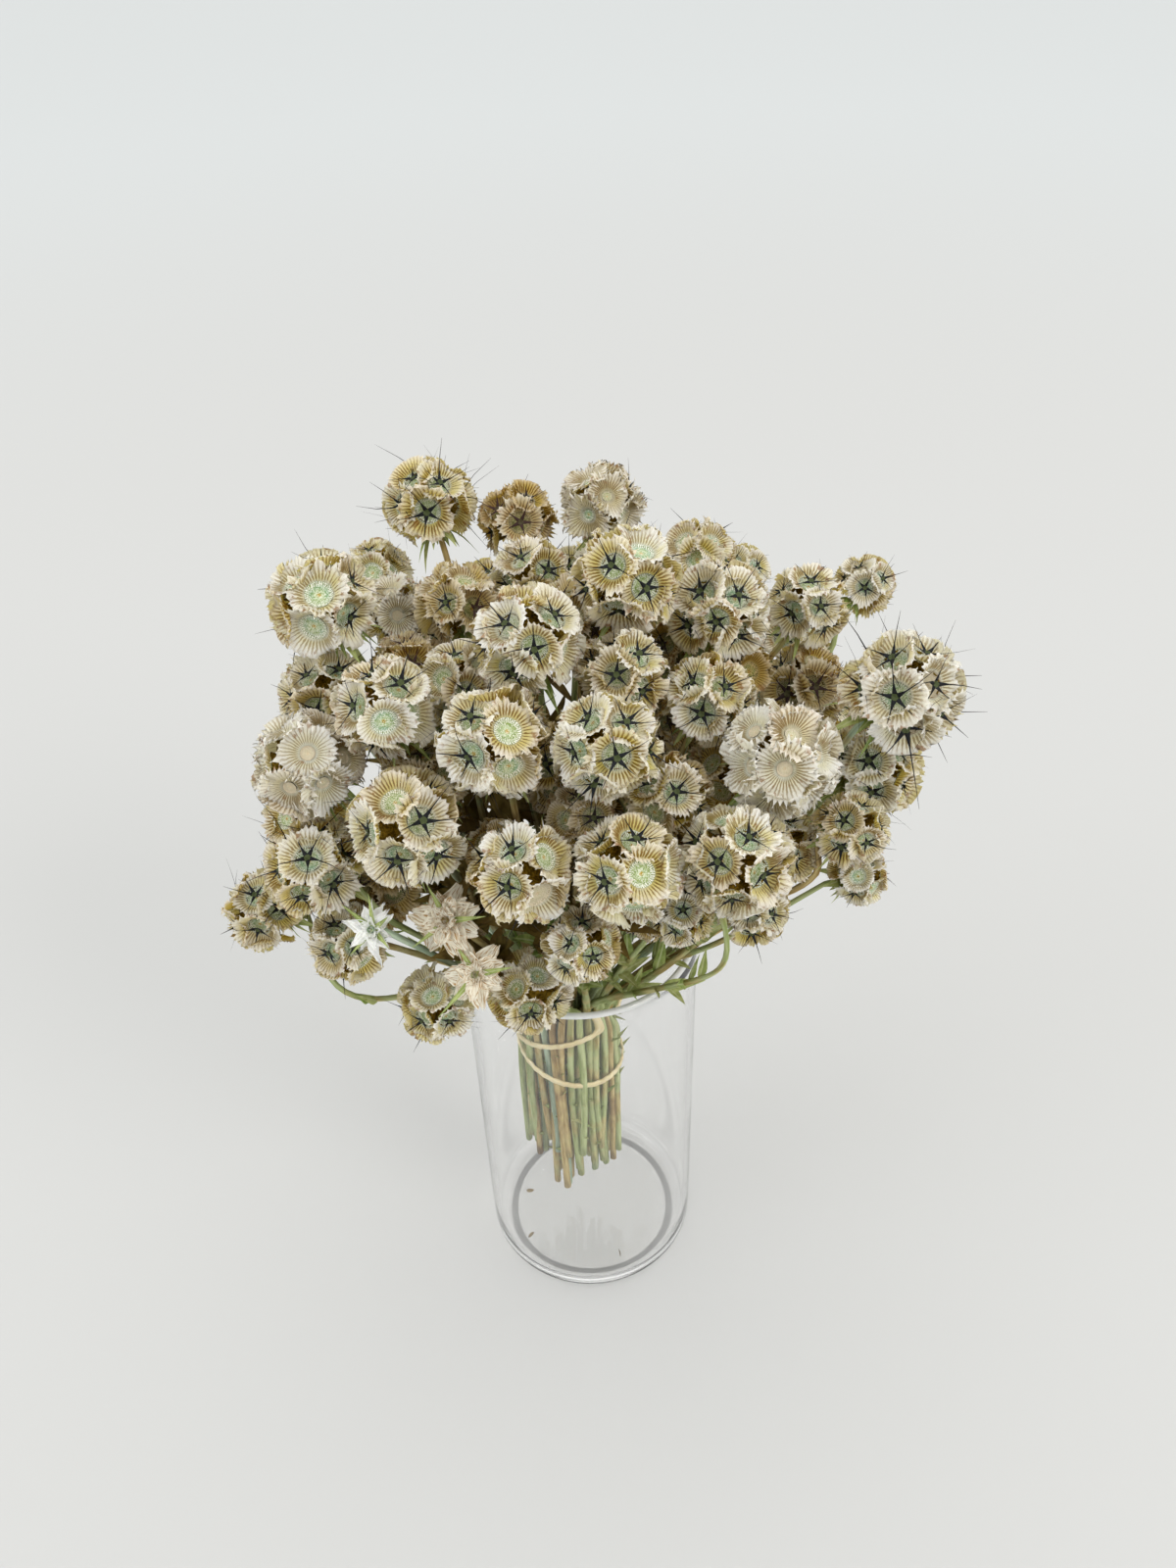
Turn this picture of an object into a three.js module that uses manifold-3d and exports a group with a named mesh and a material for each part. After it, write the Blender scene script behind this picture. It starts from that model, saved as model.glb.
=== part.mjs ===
// A bunch of dried scabiosa pods standing in a plain glass cylinder vase.
// Millimetres, +Z up. The vase's axis is the Z axis and it stands on z = 0.
import * as THREE from 'three';
import { ConvexHull } from 'three/addons/math/ConvexHull.js';
import { mergeVertices } from 'three/addons/utils/BufferGeometryUtils.js';
import Module from 'manifold-3d';

const wasm = await Module();
wasm.setup();

// Driving dimensions.
const GAP = 0.3; // left wherever one piece touches another
const VASE = { radius: 50, height: 200, wall: 3, floor: 6, heel: 8, sides: 28 };
const BUNDLE = { x: -6, y: -2, lowest: 42, uneven: 38, stemRadius: 1.75, tipRadius: 1.2 };
const RINGS = [[6, 5], [12, 10.2], [22, 15.4], [33, 20.6]]; // stems in each ring of the bundle, ring radius
const PLUG = { radius: 20.8, bottom: 112, top: 172, sides: 12 }; // the stems pressed together at the band
const STEM = { straight: 9, lead: 7, spare: 0.6, tolerance: 1.8, steps: 44, rounds: 300, pull: 0.45 };
const BAND = { thickness: 1.4, width: 2.6, middle: 142.5, rise: 19, steps: 16 };
const HEAD = { cupDepth: 0.77, cupWidth: 0.92, valley: 0.66, underside: 0.62, edge: 0.92, spread: 1.36 };
const CUPS = { small: 10, large: 12, largeFrom: 17.5 }; // cups on a head, and the radius of a large one
const BRACTS = { count: 5, reach: 0.6, drop: 0.36, notch: 3, lip: 0.4, clearance: 0.8 };
const STAR_BRACTS = { count: 6, drop: -0.25 };
const LEAF = { halfWidth: 2.6, halfThickness: 0.5, widest: 0.4, lean: 0.85, clearance: 3.2 };
const GOLDEN_ANGLE = Math.PI * (3 - Math.sqrt(5));
const UP = new THREE.Vector3(0, 0, 1);
const NECK = new THREE.Vector3(-4, 2, 185); // the heads face away from here

// Centre, radius and turn in degrees of each seed head, from the crown at the back down to the skirt in
// front.
const HEADS = [
  [-51, 77, 357, 16.6, 115], [-17, 76, 348, 14.8, 175], [16, 82, 350, 16.5, 80],
  [53, 62, 338, 13.5, 10], [-76, 80, 325, 13.6, 315], [-85, 15, 349, 18, 245],
  [-65, 47, 325, 15, 325], [-39, 28, 339, 15, 210], [-12, 45, 340, 14.8, 115],
  [22, 4, 360, 18, 325], [55, 10, 343, 17, 145], [91, 33, 330, 14.8, 70],
  [123, 77, 313, 12, 0], [116, -17, 324, 19.5, 125], [91, 26, 297, 16.5, 200],
  [62, 20, 312, 14.8, 235], [-12, -19, 352, 17.5, 90], [19, -21, 338, 14.8, 340],
  [13, -52, 331, 16.8, 15], [-23, -47, 331, 18, 180], [-36, -9, 328, 15, 90],
  [-60, -30, 334, 16.5, 85], [-88, 7, 316, 16, 300], [-89, -32, 313, 17.8, 60],
  [-53, -60, 307, 18.5, 65], [-51, -24, 301, 15, 0], [-97, -17, 276, 16, 275],
  [-89, -50, 282, 16.5, 200], [-115, -36, 250, 14.2, 80], [-81, -57, 252, 13.6, 265],
  [-16, -74, 298, 16.3, 105], [18, -77, 300, 17, 310], [33, -46, 305, 14.5, 275],
  [49, -20, 326, 14.9, 285], [70.5, -45.5, 319, 18.3, 200], [57, -21, 294, 15.2, 5],
  [54, -71, 297, 17.5, 155], [112, -8, 284, 17.5, 250], [99, -38, 280, 12.8, 5],
  [105, -34, 254, 10.5, 30], [76, -27, 263, 14.5, 5], [63, -52, 257, 12.5, 315],
  [37, -65, 268, 10.8, 195], [2, -78, 268, 12.4, 180], [-17, -70, 238, 14, 135],
  [-51, -66, 229, 13.4, 240], [5, -41, 294, 13, 160], [29, -6, 309, 12, 260],
  [-96, 45, 286, 16, 355], [-50, 86, 296, 16, 95], [6, 97, 308, 16, 190],
  [16, 51, 324, 16, 290], [72, 86, 315, 12.5, 25], [93, 68, 292, 16, 120],
  [-25, 103, 262, 16, 220], [28, 106, 270, 16, 315], [75, 97, 258, 16, 55],
];

// Heads at the back and deep in the bunch that are pressed into the one beside them: centre, radius,
// turn, and that head's row.
const PRESSED = [
  [-32, 104, 300, 15, 150, 49], [31, 104, 314, 15, 250, 50], [-90, 62, 266, 14, 345, 48],
  [103, 50, 276, 15, 85, 53], [-48, 95, 254, 15, 180, 54], [90, 80, 246, 15, 280, 56],
  [-57, 8, 322, 15, 40, 20], [43, 38, 314, 15, 130, 15], [33, 13, 295, 14, 210, 47],
  [-73, -33, 256, 15, 300, 29], [102, 5, 259, 14, 20, 37], [-5, -18, 297, 15, 110, 46],
  [5, 17, 339, 14.5, 60, 9],
];

// Bare receptacles, where the seeds have dropped and a star of papery bracts is left: centre and reach.
const STARS = [[-67, -75, 276, 9], [-43, -70, 274, 12], [-34, -80, 258, 11]];

// Places that a few drooping stems pass through on the way to their head, by the head's row.
const DETOURS = new Map([
  [28, [[-62, -52, 216], [-92, -66, 226]]],
  [36, [[40, -52, 219], [58, -72, 246]]],
  [39, [[50, -36, 219]]],
]);

// Rows of the heads whose stems keep their leaves, low on the right in front.
const LEAFY = new Set([36, 40, 41, 42, 43]);

const headCentres = [...HEADS, ...PRESSED].map(([x, y, z]) => new THREE.Vector3(x, y, z));
const headRadii = [...HEADS, ...PRESSED].map((head) => head[3]);
const headTurns = [...HEADS, ...PRESSED].map((head) => THREE.MathUtils.degToRad(head[4]));

// A repeatable draw between 0 and 1 for each number.
function draw(number) {
  const value = Math.sin(number * 12.9898 + 4.1414) * 43758.5453;
  return value - Math.floor(value);
}

// Two directions square to an axis.
function crossFrame(axis) {
  const side = new THREE.Vector3(0, 1, 0).cross(axis).normalize();
  return [side, axis.clone().cross(side)];
}

function tilted(axis, polar, around) {
  const [side, other] = crossFrame(axis);
  return axis.clone().multiplyScalar(Math.cos(polar))
    .addScaledVector(side, Math.sin(polar) * Math.cos(around))
    .addScaledVector(other, Math.sin(polar) * Math.sin(around));
}

function closedGeometry(points, triangles) {
  const geometry = new THREE.BufferGeometry();
  geometry.setAttribute('position', new THREE.Float32BufferAttribute(points.flatMap((p) => p.toArray()), 3));
  geometry.setIndex(triangles.flat());
  return geometry;
}

function toSolid(geometry) {
  geometry.deleteAttribute('normal');
  geometry.deleteAttribute('uv');
  const merged = mergeVertices(geometry, 1e-4);
  return new wasm.Manifold(new wasm.Mesh({
    numProp: 3,
    vertProperties: new Float32Array(merged.attributes.position.array),
    triVerts: new Uint32Array(merged.index.array),
  }));
}

function fromSolid(solid) {
  const mesh = solid.getMesh();
  const geometry = new THREE.BufferGeometry();
  geometry.setAttribute('position', new THREE.Float32BufferAttribute(mesh.vertProperties, 3));
  geometry.setIndex(Array.from(mesh.triVerts));
  return geometry;
}

// Joins pieces and keeps the outer skin of the largest body.
function fuse(pieces) {
  let whole = pieces[0];
  for (const piece of pieces.slice(1)) {
    whole = whole.add(piece);
  }
  return whole.decompose().sort((a, b) => b.volume() - a.volume())[0];
}

// Faces of the convex hull round some directions, as rows of three indices.
function hullFaces(directions) {
  const hull = new ConvexHull().setFromPoints(directions);
  const rows = new Map(directions.map((direction, i) => [direction, i]));
  return hull.faces.map((face) => {
    const edge = face.edge;
    return [edge.tail(), edge.head(), edge.next.head()].map((vertex) => rows.get(vertex.point));
  });
}

// A head is a ball of shallow papery cups. The cups follow a golden spiral from the top of the head,
// with deep valleys where three cups meet and a flat underside where the stem carries it.
function cupDirections(axis, turn, count) {
  return Array.from({ length: count }, (_, k) => {
    const polar = Math.acos(1 - HEAD.spread * (k + 0.5) / count);
    return tilted(axis, polar, k * GOLDEN_ANGLE + turn);
  });
}

function headGeometry(centre, radius, axis, turn) {
  const cups = cupDirections(axis, turn, radius >= CUPS.largeFrom ? CUPS.large : CUPS.small);
  const foot = axis.clone().negate();
  const corners = [...cups, foot];
  const points = [];
  const triangles = [];
  const put = (direction, reach) => {
    points.push(centre.clone().addScaledVector(direction, radius * reach));
    return points.length - 1;
  };

  // One valley point for each place where three neighbours meet.
  const faces = hullFaces(corners).map((face) => {
    const [a, b, c] = face.map((i) => corners[i]);
    const valley = new THREE.Triangle(a, b, c).getNormal(new THREE.Vector3());
    const flat = Math.min(HEAD.edge, HEAD.underside / valley.dot(foot));
    return { face, valley, point: put(valley, face.includes(cups.length) ? flat : HEAD.valley) };
  });

  corners.forEach((corner, i) => {
    const around = [];
    let step = faces.find(({ face }) => face.includes(i));
    while (!around.includes(step)) {
      around.push(step);
      const next = step.face[(step.face.indexOf(i) + 2) % 3];
      step = faces.find(({ face }) => face.includes(i) && face[(face.indexOf(i) + 1) % 3] === next);
    }
    const middle = put(corner, i === cups.length ? HEAD.underside : HEAD.cupDepth);
    let rim = around.map(({ point }) => point);
    if (i < cups.length) {
      const others = corners.filter((other) => other !== corner);
      const width = HEAD.cupWidth * Math.min(...others.map((other) => other.angleTo(corner))) / 2;
      rim = around.map(({ valley }) => {
        const outward = valley.clone().addScaledVector(corner, -valley.dot(corner)).normalize();
        return put(outward.multiplyScalar(Math.sin(width)).addScaledVector(corner, Math.cos(width)), 1);
      });
      rim.forEach((from, k) => {
        const to = rim[(k + 1) % rim.length];
        const low = around[k].point;
        const lowNext = around[(k + 1) % rim.length].point;
        triangles.push([from, low, lowNext], [from, lowNext, to]);
      });
    }
    rim.forEach((from, k) => triangles.push([middle, from, rim[(k + 1) % rim.length]]));
  });
  return closedGeometry(points, triangles);
}

// Triangles between two rings of points that turn the same way round.
function bridge(lower, upper) {
  const triangles = [];
  let i = 0;
  let j = 0;
  while (i < lower.length || j < upper.length) {
    const a = lower[i % lower.length];
    const b = upper[j % upper.length];
    if (j === upper.length || (i < lower.length && (i + 0.5) / lower.length <= (j + 0.5) / upper.length)) {
      i += 1;
      triangles.push([a, lower[i % lower.length], b]);
    } else {
      j += 1;
      triangles.push([a, upper[j % upper.length], b]);
    }
  }
  return triangles;
}

// A three-sided stem along a path, cut flat below and ending above in a star of bracts.
// The star's tips are points; the stem meets what it carries at its last point.
function stemGeometry(path, tips) {
  const points = [];
  const rings = [];
  const last = path.length - 1;
  let side = new THREE.Vector3(1, 1, 0).normalize();
  path.forEach((place, i) => {
    const along = path[Math.min(i + 1, last)].clone().sub(path[Math.max(i - 1, 0)]).normalize();
    side = side.clone().addScaledVector(along, -side.dot(along)).normalize();
    const other = along.clone().cross(side);
    const share = THREE.MathUtils.clamp((place.z - PLUG.top) / 60, 0, 1);
    const radius = THREE.MathUtils.lerp(BUNDLE.stemRadius, BUNDLE.tipRadius, share);
    const middle = i < last ? place : place.clone().addScaledVector(along, -3 * BRACTS.lip);
    rings.push([0, 1, 2].map((corner) => {
      const turn = 2 * Math.PI * corner / 3;
      const direction = side.clone().multiplyScalar(Math.cos(turn)).addScaledVector(other, Math.sin(turn));
      points.push(middle.clone().addScaledVector(direction, radius));
      return points.length - 1;
    }));
  });
  const triangles = [[0, 2, 1]];
  for (let i = 0; i < last; i += 1) {
    triangles.push(...bridge(rings[i], rings[i + 1]));
  }
  const rim = tips.map((tip) => {
    points.push(tip);
    return points.length - 1;
  });
  points.push(path[last]);
  const toFirstTip = (corner) => points[corner].distanceTo(tips[0]);
  const first = rings[last].indexOf([...rings[last]].sort((a, b) => toFirstTip(a) - toFirstTip(b))[0]);
  triangles.push(...bridge([...rings[last].slice(first), ...rings[last].slice(0, first)], rim));
  rim.forEach((corner, k) => triangles.push([corner, rim[(k + 1) % rim.length], points.length - 1]));
  return closedGeometry(points, triangles);
}

// How far a point lies from the middle line of the glass rim, and the way out from it.
function rimAway(point) {
  const middle = VASE.wall / 2;
  const rim = new THREE.Vector3(point.x, point.y, 0).setLength(VASE.radius - middle);
  return point.clone().sub(rim.setZ(VASE.height - middle));
}

// Pushes a point of a stem clear of the heads beside it and of the glass.
function clear(point, room, heads) {
  for (const { centre, radius } of heads) {
    const away = point.clone().sub(centre);
    if (away.length() < radius + room + GAP) {
      point.copy(centre).addScaledVector(away.normalize(), radius + room + GAP);
    }
  }
  const away = rimAway(point);
  const reach = VASE.wall / 2 + room + 1.5 * GAP;
  if (away.length() < reach) {
    point.add(away.clone().setLength(reach - away.length()));
  }
  const round = Math.hypot(point.x, point.y);
  const bore = VASE.radius - VASE.wall - room - GAP;
  if (away.z < 0 && round > bore && round < VASE.radius - VASE.wall / 2) {
    point.x *= bore / round;
    point.y *= bore / round;
  }
}

// Keeps only the points of a path that it needs to stay within a tolerance and off the rim and heads.
function thin(path, tolerance, heads) {
  const last = path.length - 1;
  const line = new THREE.Line3(path[0], path[last]);
  const room = BUNDLE.tipRadius + 1.5 * GAP;
  let worst = 0;
  let split = 0;
  path.forEach((point, i) => {
    const near = line.closestPointToPoint(point, true, new THREE.Vector3());
    let miss = near.distanceTo(point);
    if (i > 0 && i < last) {
      const tight = heads.some(({ centre, radius }) => near.distanceTo(centre) < radius + room);
      miss += tight || rimAway(near).length() < VASE.wall / 2 + room ? tolerance : 0;
    }
    if (miss > worst) {
      worst = miss;
      split = i;
    }
  });
  if (worst < tolerance) {
    return [path[0], path[last]];
  }
  return [
    ...thin(path.slice(0, split + 1), tolerance, heads).slice(0, -1),
    ...thin(path.slice(split), tolerance, heads),
  ];
}

// The way of a stem from the band to its head: a stretched line that bends round the heads and over
// the rim of the glass, so that the outer stems lean on the rim.
function stemRoute(start, end, axis, own) {
  const { steps, rounds, pull } = STEM;
  const lead = end.clone().addScaledVector(axis, -STEM.lead);
  const outward = new THREE.Vector3(lead.x, lead.y, 0).normalize();
  const crossing = outward.clone().multiplyScalar(VASE.radius + 3).setZ(VASE.height + 7);
  const detour = (DETOURS.get(own) ?? []).map((place) => new THREE.Vector3(...place));
  const slope = (lead.z - start.z) / Math.max(1, Math.hypot(lead.x - start.x, lead.y - start.y));
  const drooping = 1.9; // rise over run below which a stem leans on the rim
  const low = slope < drooping && Math.hypot(lead.x, lead.y) > VASE.radius + 4;
  const upright = start.clone().addScaledVector(UP, STEM.straight);
  const guides = [start, upright, ...(low ? [crossing] : []), ...detour, lead, end];
  const path = new THREE.CatmullRomCurve3(guides, false, 'centripetal').getSpacedPoints(steps);
  const beside = 25;
  const heads = headCentres.map((centre, row) => ({ centre, radius: headRadii[row], row }))
    .filter(({ centre, radius, row }) => row !== own
      && path.some((point) => point.distanceTo(centre) < radius + beside));
  const stiff = Math.round(steps * STEM.lead / start.distanceTo(end));
  for (let round = 0; round < rounds; round += 1) {
    for (let i = stiff + 1; i < steps - stiff; i += 1) {
      const pinned = detour.some((place) => path[i].distanceTo(place) < STEM.lead);
      path[i].lerp(path[i - 1].clone().lerp(path[i + 1], 0.5), pinned ? pull / 20 : pull);
      clear(path[i], BUNDLE.tipRadius + STEM.spare, heads);
    }
  }
  return thin(path, STEM.tolerance, heads);
}

// Tips and notches of the star of bracts under a head or round a bare receptacle. A tip that would
// reach into a neighbouring head is drawn in.
function bractTips({ end, axis, row, bracts, reach, drop }) {
  return Array.from({ length: 2 * bracts }, (_, k) => {
    const outward = tilted(axis, Math.PI / 2, Math.PI * (k + 0.5) / bracts);
    const length = k % 2 === 0 ? reach : BRACTS.notch;
    const tip = new THREE.Vector3();
    let share = 1.1;
    let free = false;
    while (!free && share > 0.3) {
      share -= 0.1;
      tip.copy(end).addScaledVector(outward, length * share);
      tip.addScaledVector(axis, -drop * length / reach * share - BRACTS.lip);
      free = headCentres.every((centre, other) => (
        other === row || tip.distanceTo(centre) > headRadii[other] + BRACTS.clearance
      ));
    }
    return tip;
  });
}

// A thin pointed blade, widest a third of the way along, rooted inside its stem.
function leafGeometry(root, along, length) {
  const [side, other] = crossFrame(along);
  const tip = root.clone().addScaledVector(along, length);
  const middle = root.clone().addScaledVector(along, length * LEAF.widest);
  const { halfWidth, halfThickness } = LEAF;
  const points = [root, tip];
  for (const [direction, reach] of [[side, halfWidth], [other, halfThickness]]) {
    points.push(middle.clone().addScaledVector(direction, reach));
  }
  for (const [direction, reach] of [[side, -halfWidth], [other, -halfThickness]]) {
    points.push(middle.clone().addScaledVector(direction, reach));
  }
  const triangles = [];
  for (let k = 0; k < 4; k += 1) {
    const a = 2 + k;
    const b = 2 + (k + 1) % 4;
    triangles.push([a, b, 1], [b, a, 0]);
  }
  return closedGeometry(points, triangles);
}

// The carried ends: one for each head, then one for each bare star.
const ends = headCentres.map((centre, row) => {
  const axis = centre.clone().sub(NECK).normalize();
  const end = centre.clone().addScaledVector(axis, -(HEAD.underside * headRadii[row] + GAP));
  const reach = headRadii[row] * BRACTS.reach;
  return { row, axis, end, reach, drop: headRadii[row] * BRACTS.drop, bracts: BRACTS.count };
});
for (const [x, y, z, reach] of STARS) {
  const end = new THREE.Vector3(x, y, z);
  const axis = end.clone().sub(NECK).normalize();
  ends.push({ row: -1, axis, end, reach, drop: STAR_BRACTS.drop * reach, bracts: STAR_BRACTS.count });
}

// Upright stems start in the middle of the bundle and drooping ones at its outside, each on its own side.
const byLean = [...ends].sort((a, b) => b.axis.z - a.axis.z);
for (const [count, radius] of RINGS) {
  const ring = byLean.splice(0, count);
  ring.sort((a, b) => Math.atan2(a.axis.y, a.axis.x) - Math.atan2(b.axis.y, b.axis.x));
  ring.forEach((carried, k) => {
    const around = 2 * Math.PI * (k + 0.5) / ring.length - Math.PI;
    carried.x = BUNDLE.x + radius * Math.cos(around);
    carried.y = BUNDLE.y + radius * Math.sin(around);
  });
}

// A point part of the way along a path, and the way the path runs there.
function placeAlong(path, share) {
  const curve = new THREE.CurvePath();
  path.slice(1).forEach((point, i) => curve.add(new THREE.LineCurve3(path[i], point)));
  return [curve.getPoint(share), curve.getTangent(share)];
}

// A leaf turns round its stem until it clears the heads and the glass.
function leafOn(path, share, length, turn) {
  const [root, along] = placeAlong(path, share);
  for (let k = 0; k < 9; k += 1) {
    const direction = tilted(along, LEAF.lean, turn + 0.7 * k);
    const free = [0.4, 0.7, 1].every((part) => {
      const point = root.clone().addScaledVector(direction, part * length);
      const offHeads = headCentres.every((centre, row) => (
        point.distanceTo(centre) > headRadii[row] + LEAF.clearance
      ));
      const inside = Math.hypot(point.x, point.y) < VASE.radius - VASE.wall - LEAF.clearance;
      return offHeads && (inside || rimAway(point).z > LEAF.clearance + 1);
    });
    if (free) {
      return [toSolid(leafGeometry(root, direction, length))];
    }
  }
  return [];
}

const greenery = [];
ends.forEach((carried, k) => {
  const foot = new THREE.Vector3(carried.x, carried.y, BUNDLE.lowest + BUNDLE.uneven * draw(k));
  const start = new THREE.Vector3(carried.x, carried.y, BAND.middle + BAND.rise);
  const route = stemRoute(start, carried.end, carried.axis, carried.row);
  greenery.push(toSolid(stemGeometry([foot, ...route], bractTips(carried))));
  if (LEAFY.has(carried.row)) {
    greenery.push(...leafOn(route, 0.5, 22, 3 * k), ...leafOn(route, 0.72, 17, 3 * k + 2));
  } else if (k % 4 === 0) {
    greenery.push(...leafOn(route, 0.55, 20, 2 * k));
  }
});
const plug = new THREE.CylinderGeometry(PLUG.radius, PLUG.radius, PLUG.top - PLUG.bottom, PLUG.sides);
plug.rotateX(Math.PI / 2);
plug.translate(BUNDLE.x, BUNDLE.y, (PLUG.top + PLUG.bottom) / 2);
greenery.push(toSolid(plug));

// The band is one rubber loop wound twice: it runs once round high and once low, and crosses itself.
function bandTurn(from) {
  const points = [];
  const triangles = [];
  const inner = RINGS[3][1] + BUNDLE.stemRadius + 2.4 * GAP;
  const turnLength = 2 * Math.PI * 1.01;
  for (let k = 0; k <= BAND.steps; k += 1) {
    const turn = from + turnLength * k / BAND.steps;
    const height = BAND.middle + BAND.rise * Math.cos(turn / 2);
    for (const [out, lift] of [[0, -1], [1, -1], [1, 1], [0, 1]]) {
      const radius = inner + out * BAND.thickness;
      const place = new THREE.Vector3(radius, 0, height + lift * BAND.width / 2).applyAxisAngle(UP, turn);
      points.push(place.add(new THREE.Vector3(BUNDLE.x, BUNDLE.y, 0)));
    }
  }
  const top = 4 * BAND.steps;
  triangles.push([0, 1, 2], [0, 2, 3], [top, top + 2, top + 1], [top, top + 3, top + 2]);
  for (let k = 0; k < BAND.steps; k += 1) {
    for (let s = 0; s < 4; s += 1) {
      const a = 4 * k + s;
      const b = 4 * k + (s + 1) % 4;
      triangles.push([a, a + 4, b], [b, a + 4, b + 4]);
    }
  }
  return toSolid(closedGeometry(points, triangles));
}

// The vase: a thick floor, a rounded heel, straight walls and a round fire-polished rim.
function vaseGeometry() {
  const profile = [new THREE.Vector2(0, 0)];
  const arc = (x, y, radius, from, to, steps) => {
    for (let k = 0; k <= steps; k += 1) {
      const turn = THREE.MathUtils.lerp(from, to, k / steps);
      profile.push(new THREE.Vector2(x + radius * Math.cos(turn), y + radius * Math.sin(turn)));
    }
  };
  const wallMiddle = VASE.radius - VASE.wall / 2;
  const inner = VASE.heel - VASE.wall;
  arc(VASE.radius - VASE.heel, VASE.heel, VASE.heel, -Math.PI / 2, 0, 3);
  arc(wallMiddle, VASE.height - VASE.wall / 2, VASE.wall / 2, 0, Math.PI, 4);
  arc(VASE.radius - VASE.heel, VASE.floor + inner, inner, 0, -Math.PI / 2, 2);
  profile.push(new THREE.Vector2(0, VASE.floor));
  return new THREE.LatheGeometry(profile, VASE.sides).rotateX(Math.PI / 2);
}

function finish(colour, roughness, more = {}) {
  return new THREE.MeshStandardMaterial({ color: colour, roughness, metalness: 0, ...more });
}

const TONES = [0xcdc3a8, 0xd3cab0, 0xc4b48f, 0xb8a27c]; // cream, pale straw, straw and brown paper

const group = new THREE.Group();
function add(name, geometry, material) {
  const mesh = new THREE.Mesh(geometry, material);
  mesh.name = name;
  group.add(mesh);
}

add('vase', vaseGeometry(), finish(0xe4ebe8, 0.05, { transparent: true, opacity: 0.35 }));
add('stems', fromSolid(fuse(greenery)), finish(0x9ba173, 0.8));
add('rubber_band', fromSolid(fuse([bandTurn(0), bandTurn(2 * Math.PI)])), finish(0xd9cba4, 0.6));
const headGeometries = headCentres.map((centre, row) => (
  headGeometry(centre, headRadii[row], ends[row].axis, headTurns[row])
));
HEADS.forEach((_, row) => {
  const partner = PRESSED.findIndex((place) => place[5] === row);
  const pair = [headGeometries[row], headGeometries[HEADS.length + partner]];
  const geometry = partner < 0 ? headGeometries[row] : fromSolid(fuse(pair.map(toSolid)));
  const tone = TONES[Math.floor(draw(row) * TONES.length)];
  add(`head_${String(row + 1).padStart(2, '0')}`, geometry, finish(tone, 0.85));
});

export default group;
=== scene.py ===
import math

import bmesh
import bpy
import numpy as np
from mathutils import Matrix, Vector
from numpy.linalg import norm


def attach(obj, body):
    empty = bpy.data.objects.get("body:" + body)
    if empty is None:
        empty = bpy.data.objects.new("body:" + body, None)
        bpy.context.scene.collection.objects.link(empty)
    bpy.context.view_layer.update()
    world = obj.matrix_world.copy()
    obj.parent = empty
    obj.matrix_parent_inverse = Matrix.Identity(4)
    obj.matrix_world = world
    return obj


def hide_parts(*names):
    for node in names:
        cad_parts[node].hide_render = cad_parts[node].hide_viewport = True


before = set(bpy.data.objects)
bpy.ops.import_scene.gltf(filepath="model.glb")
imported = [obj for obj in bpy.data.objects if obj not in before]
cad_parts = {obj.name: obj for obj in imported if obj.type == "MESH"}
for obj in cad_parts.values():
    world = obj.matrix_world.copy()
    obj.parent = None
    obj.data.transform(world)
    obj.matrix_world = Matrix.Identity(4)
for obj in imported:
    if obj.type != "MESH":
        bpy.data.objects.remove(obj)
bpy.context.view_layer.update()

# Camera. The bunch is seen from in front and from above, two thirds of a metre away, by a
# hand-held camera that dips 38 degrees and rolls a little to the right.
IMAGE_HEIGHT = 1600  # pixels
FOCAL_LENGTH = 1250.3  # pixels
SENSOR = 36.0  # mm, along the image's height
EYE = (0.0064, -0.3679, 0.5647)
DIP = math.radians(38.18)
ROLL = math.radians(-2.2)


def aim_camera():
    data = bpy.data.cameras.new("camera")
    data.sensor_width = SENSOR
    data.lens = SENSOR * FOCAL_LENGTH / IMAGE_HEIGHT
    data.clip_start = 0.01
    ahead = Vector((0, math.cos(DIP), -math.sin(DIP)))
    level = Vector((1, 0, 0))
    steep = Vector((0, math.sin(DIP), math.cos(DIP)))
    right = level * math.cos(ROLL) + steep * math.sin(ROLL)
    up = steep * math.cos(ROLL) - level * math.sin(ROLL)
    camera = bpy.data.objects.new("camera", data)
    turn = Matrix((right, up, -ahead)).transposed().to_4x4()
    camera.matrix_world = Matrix.Translation(EYE) @ turn
    bpy.context.scene.collection.objects.link(camera)
    bpy.context.scene.camera = camera


aim_camera()

# Floor. A wide sheet of pale grey paper, matt, with a faint grain. It lies flat on the table and
# isn't part of the object. Its colour holds painted shade: darker near the vase, lighter far off.
FLOOR = {"radius": 9.0, "sides": 96, "near": 0.8, "far": 3.2}
FLOOR_PAINTED_SHADE = ("#bfbfbf", "#c5c8ca")  # near the vase, and far off
FLOOR_GRAIN = "#b9b7b2"


def paint(colour):
    """A colour written as #rrggbb, as the linear numbers that a shader takes."""
    parts = [int(colour[i:i + 2], 16) / 255 for i in (1, 3, 5)]
    return [p / 12.92 if p <= 0.04045 else ((p + 0.055) / 1.055) ** 2.4 for p in parts] + [1]


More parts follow.
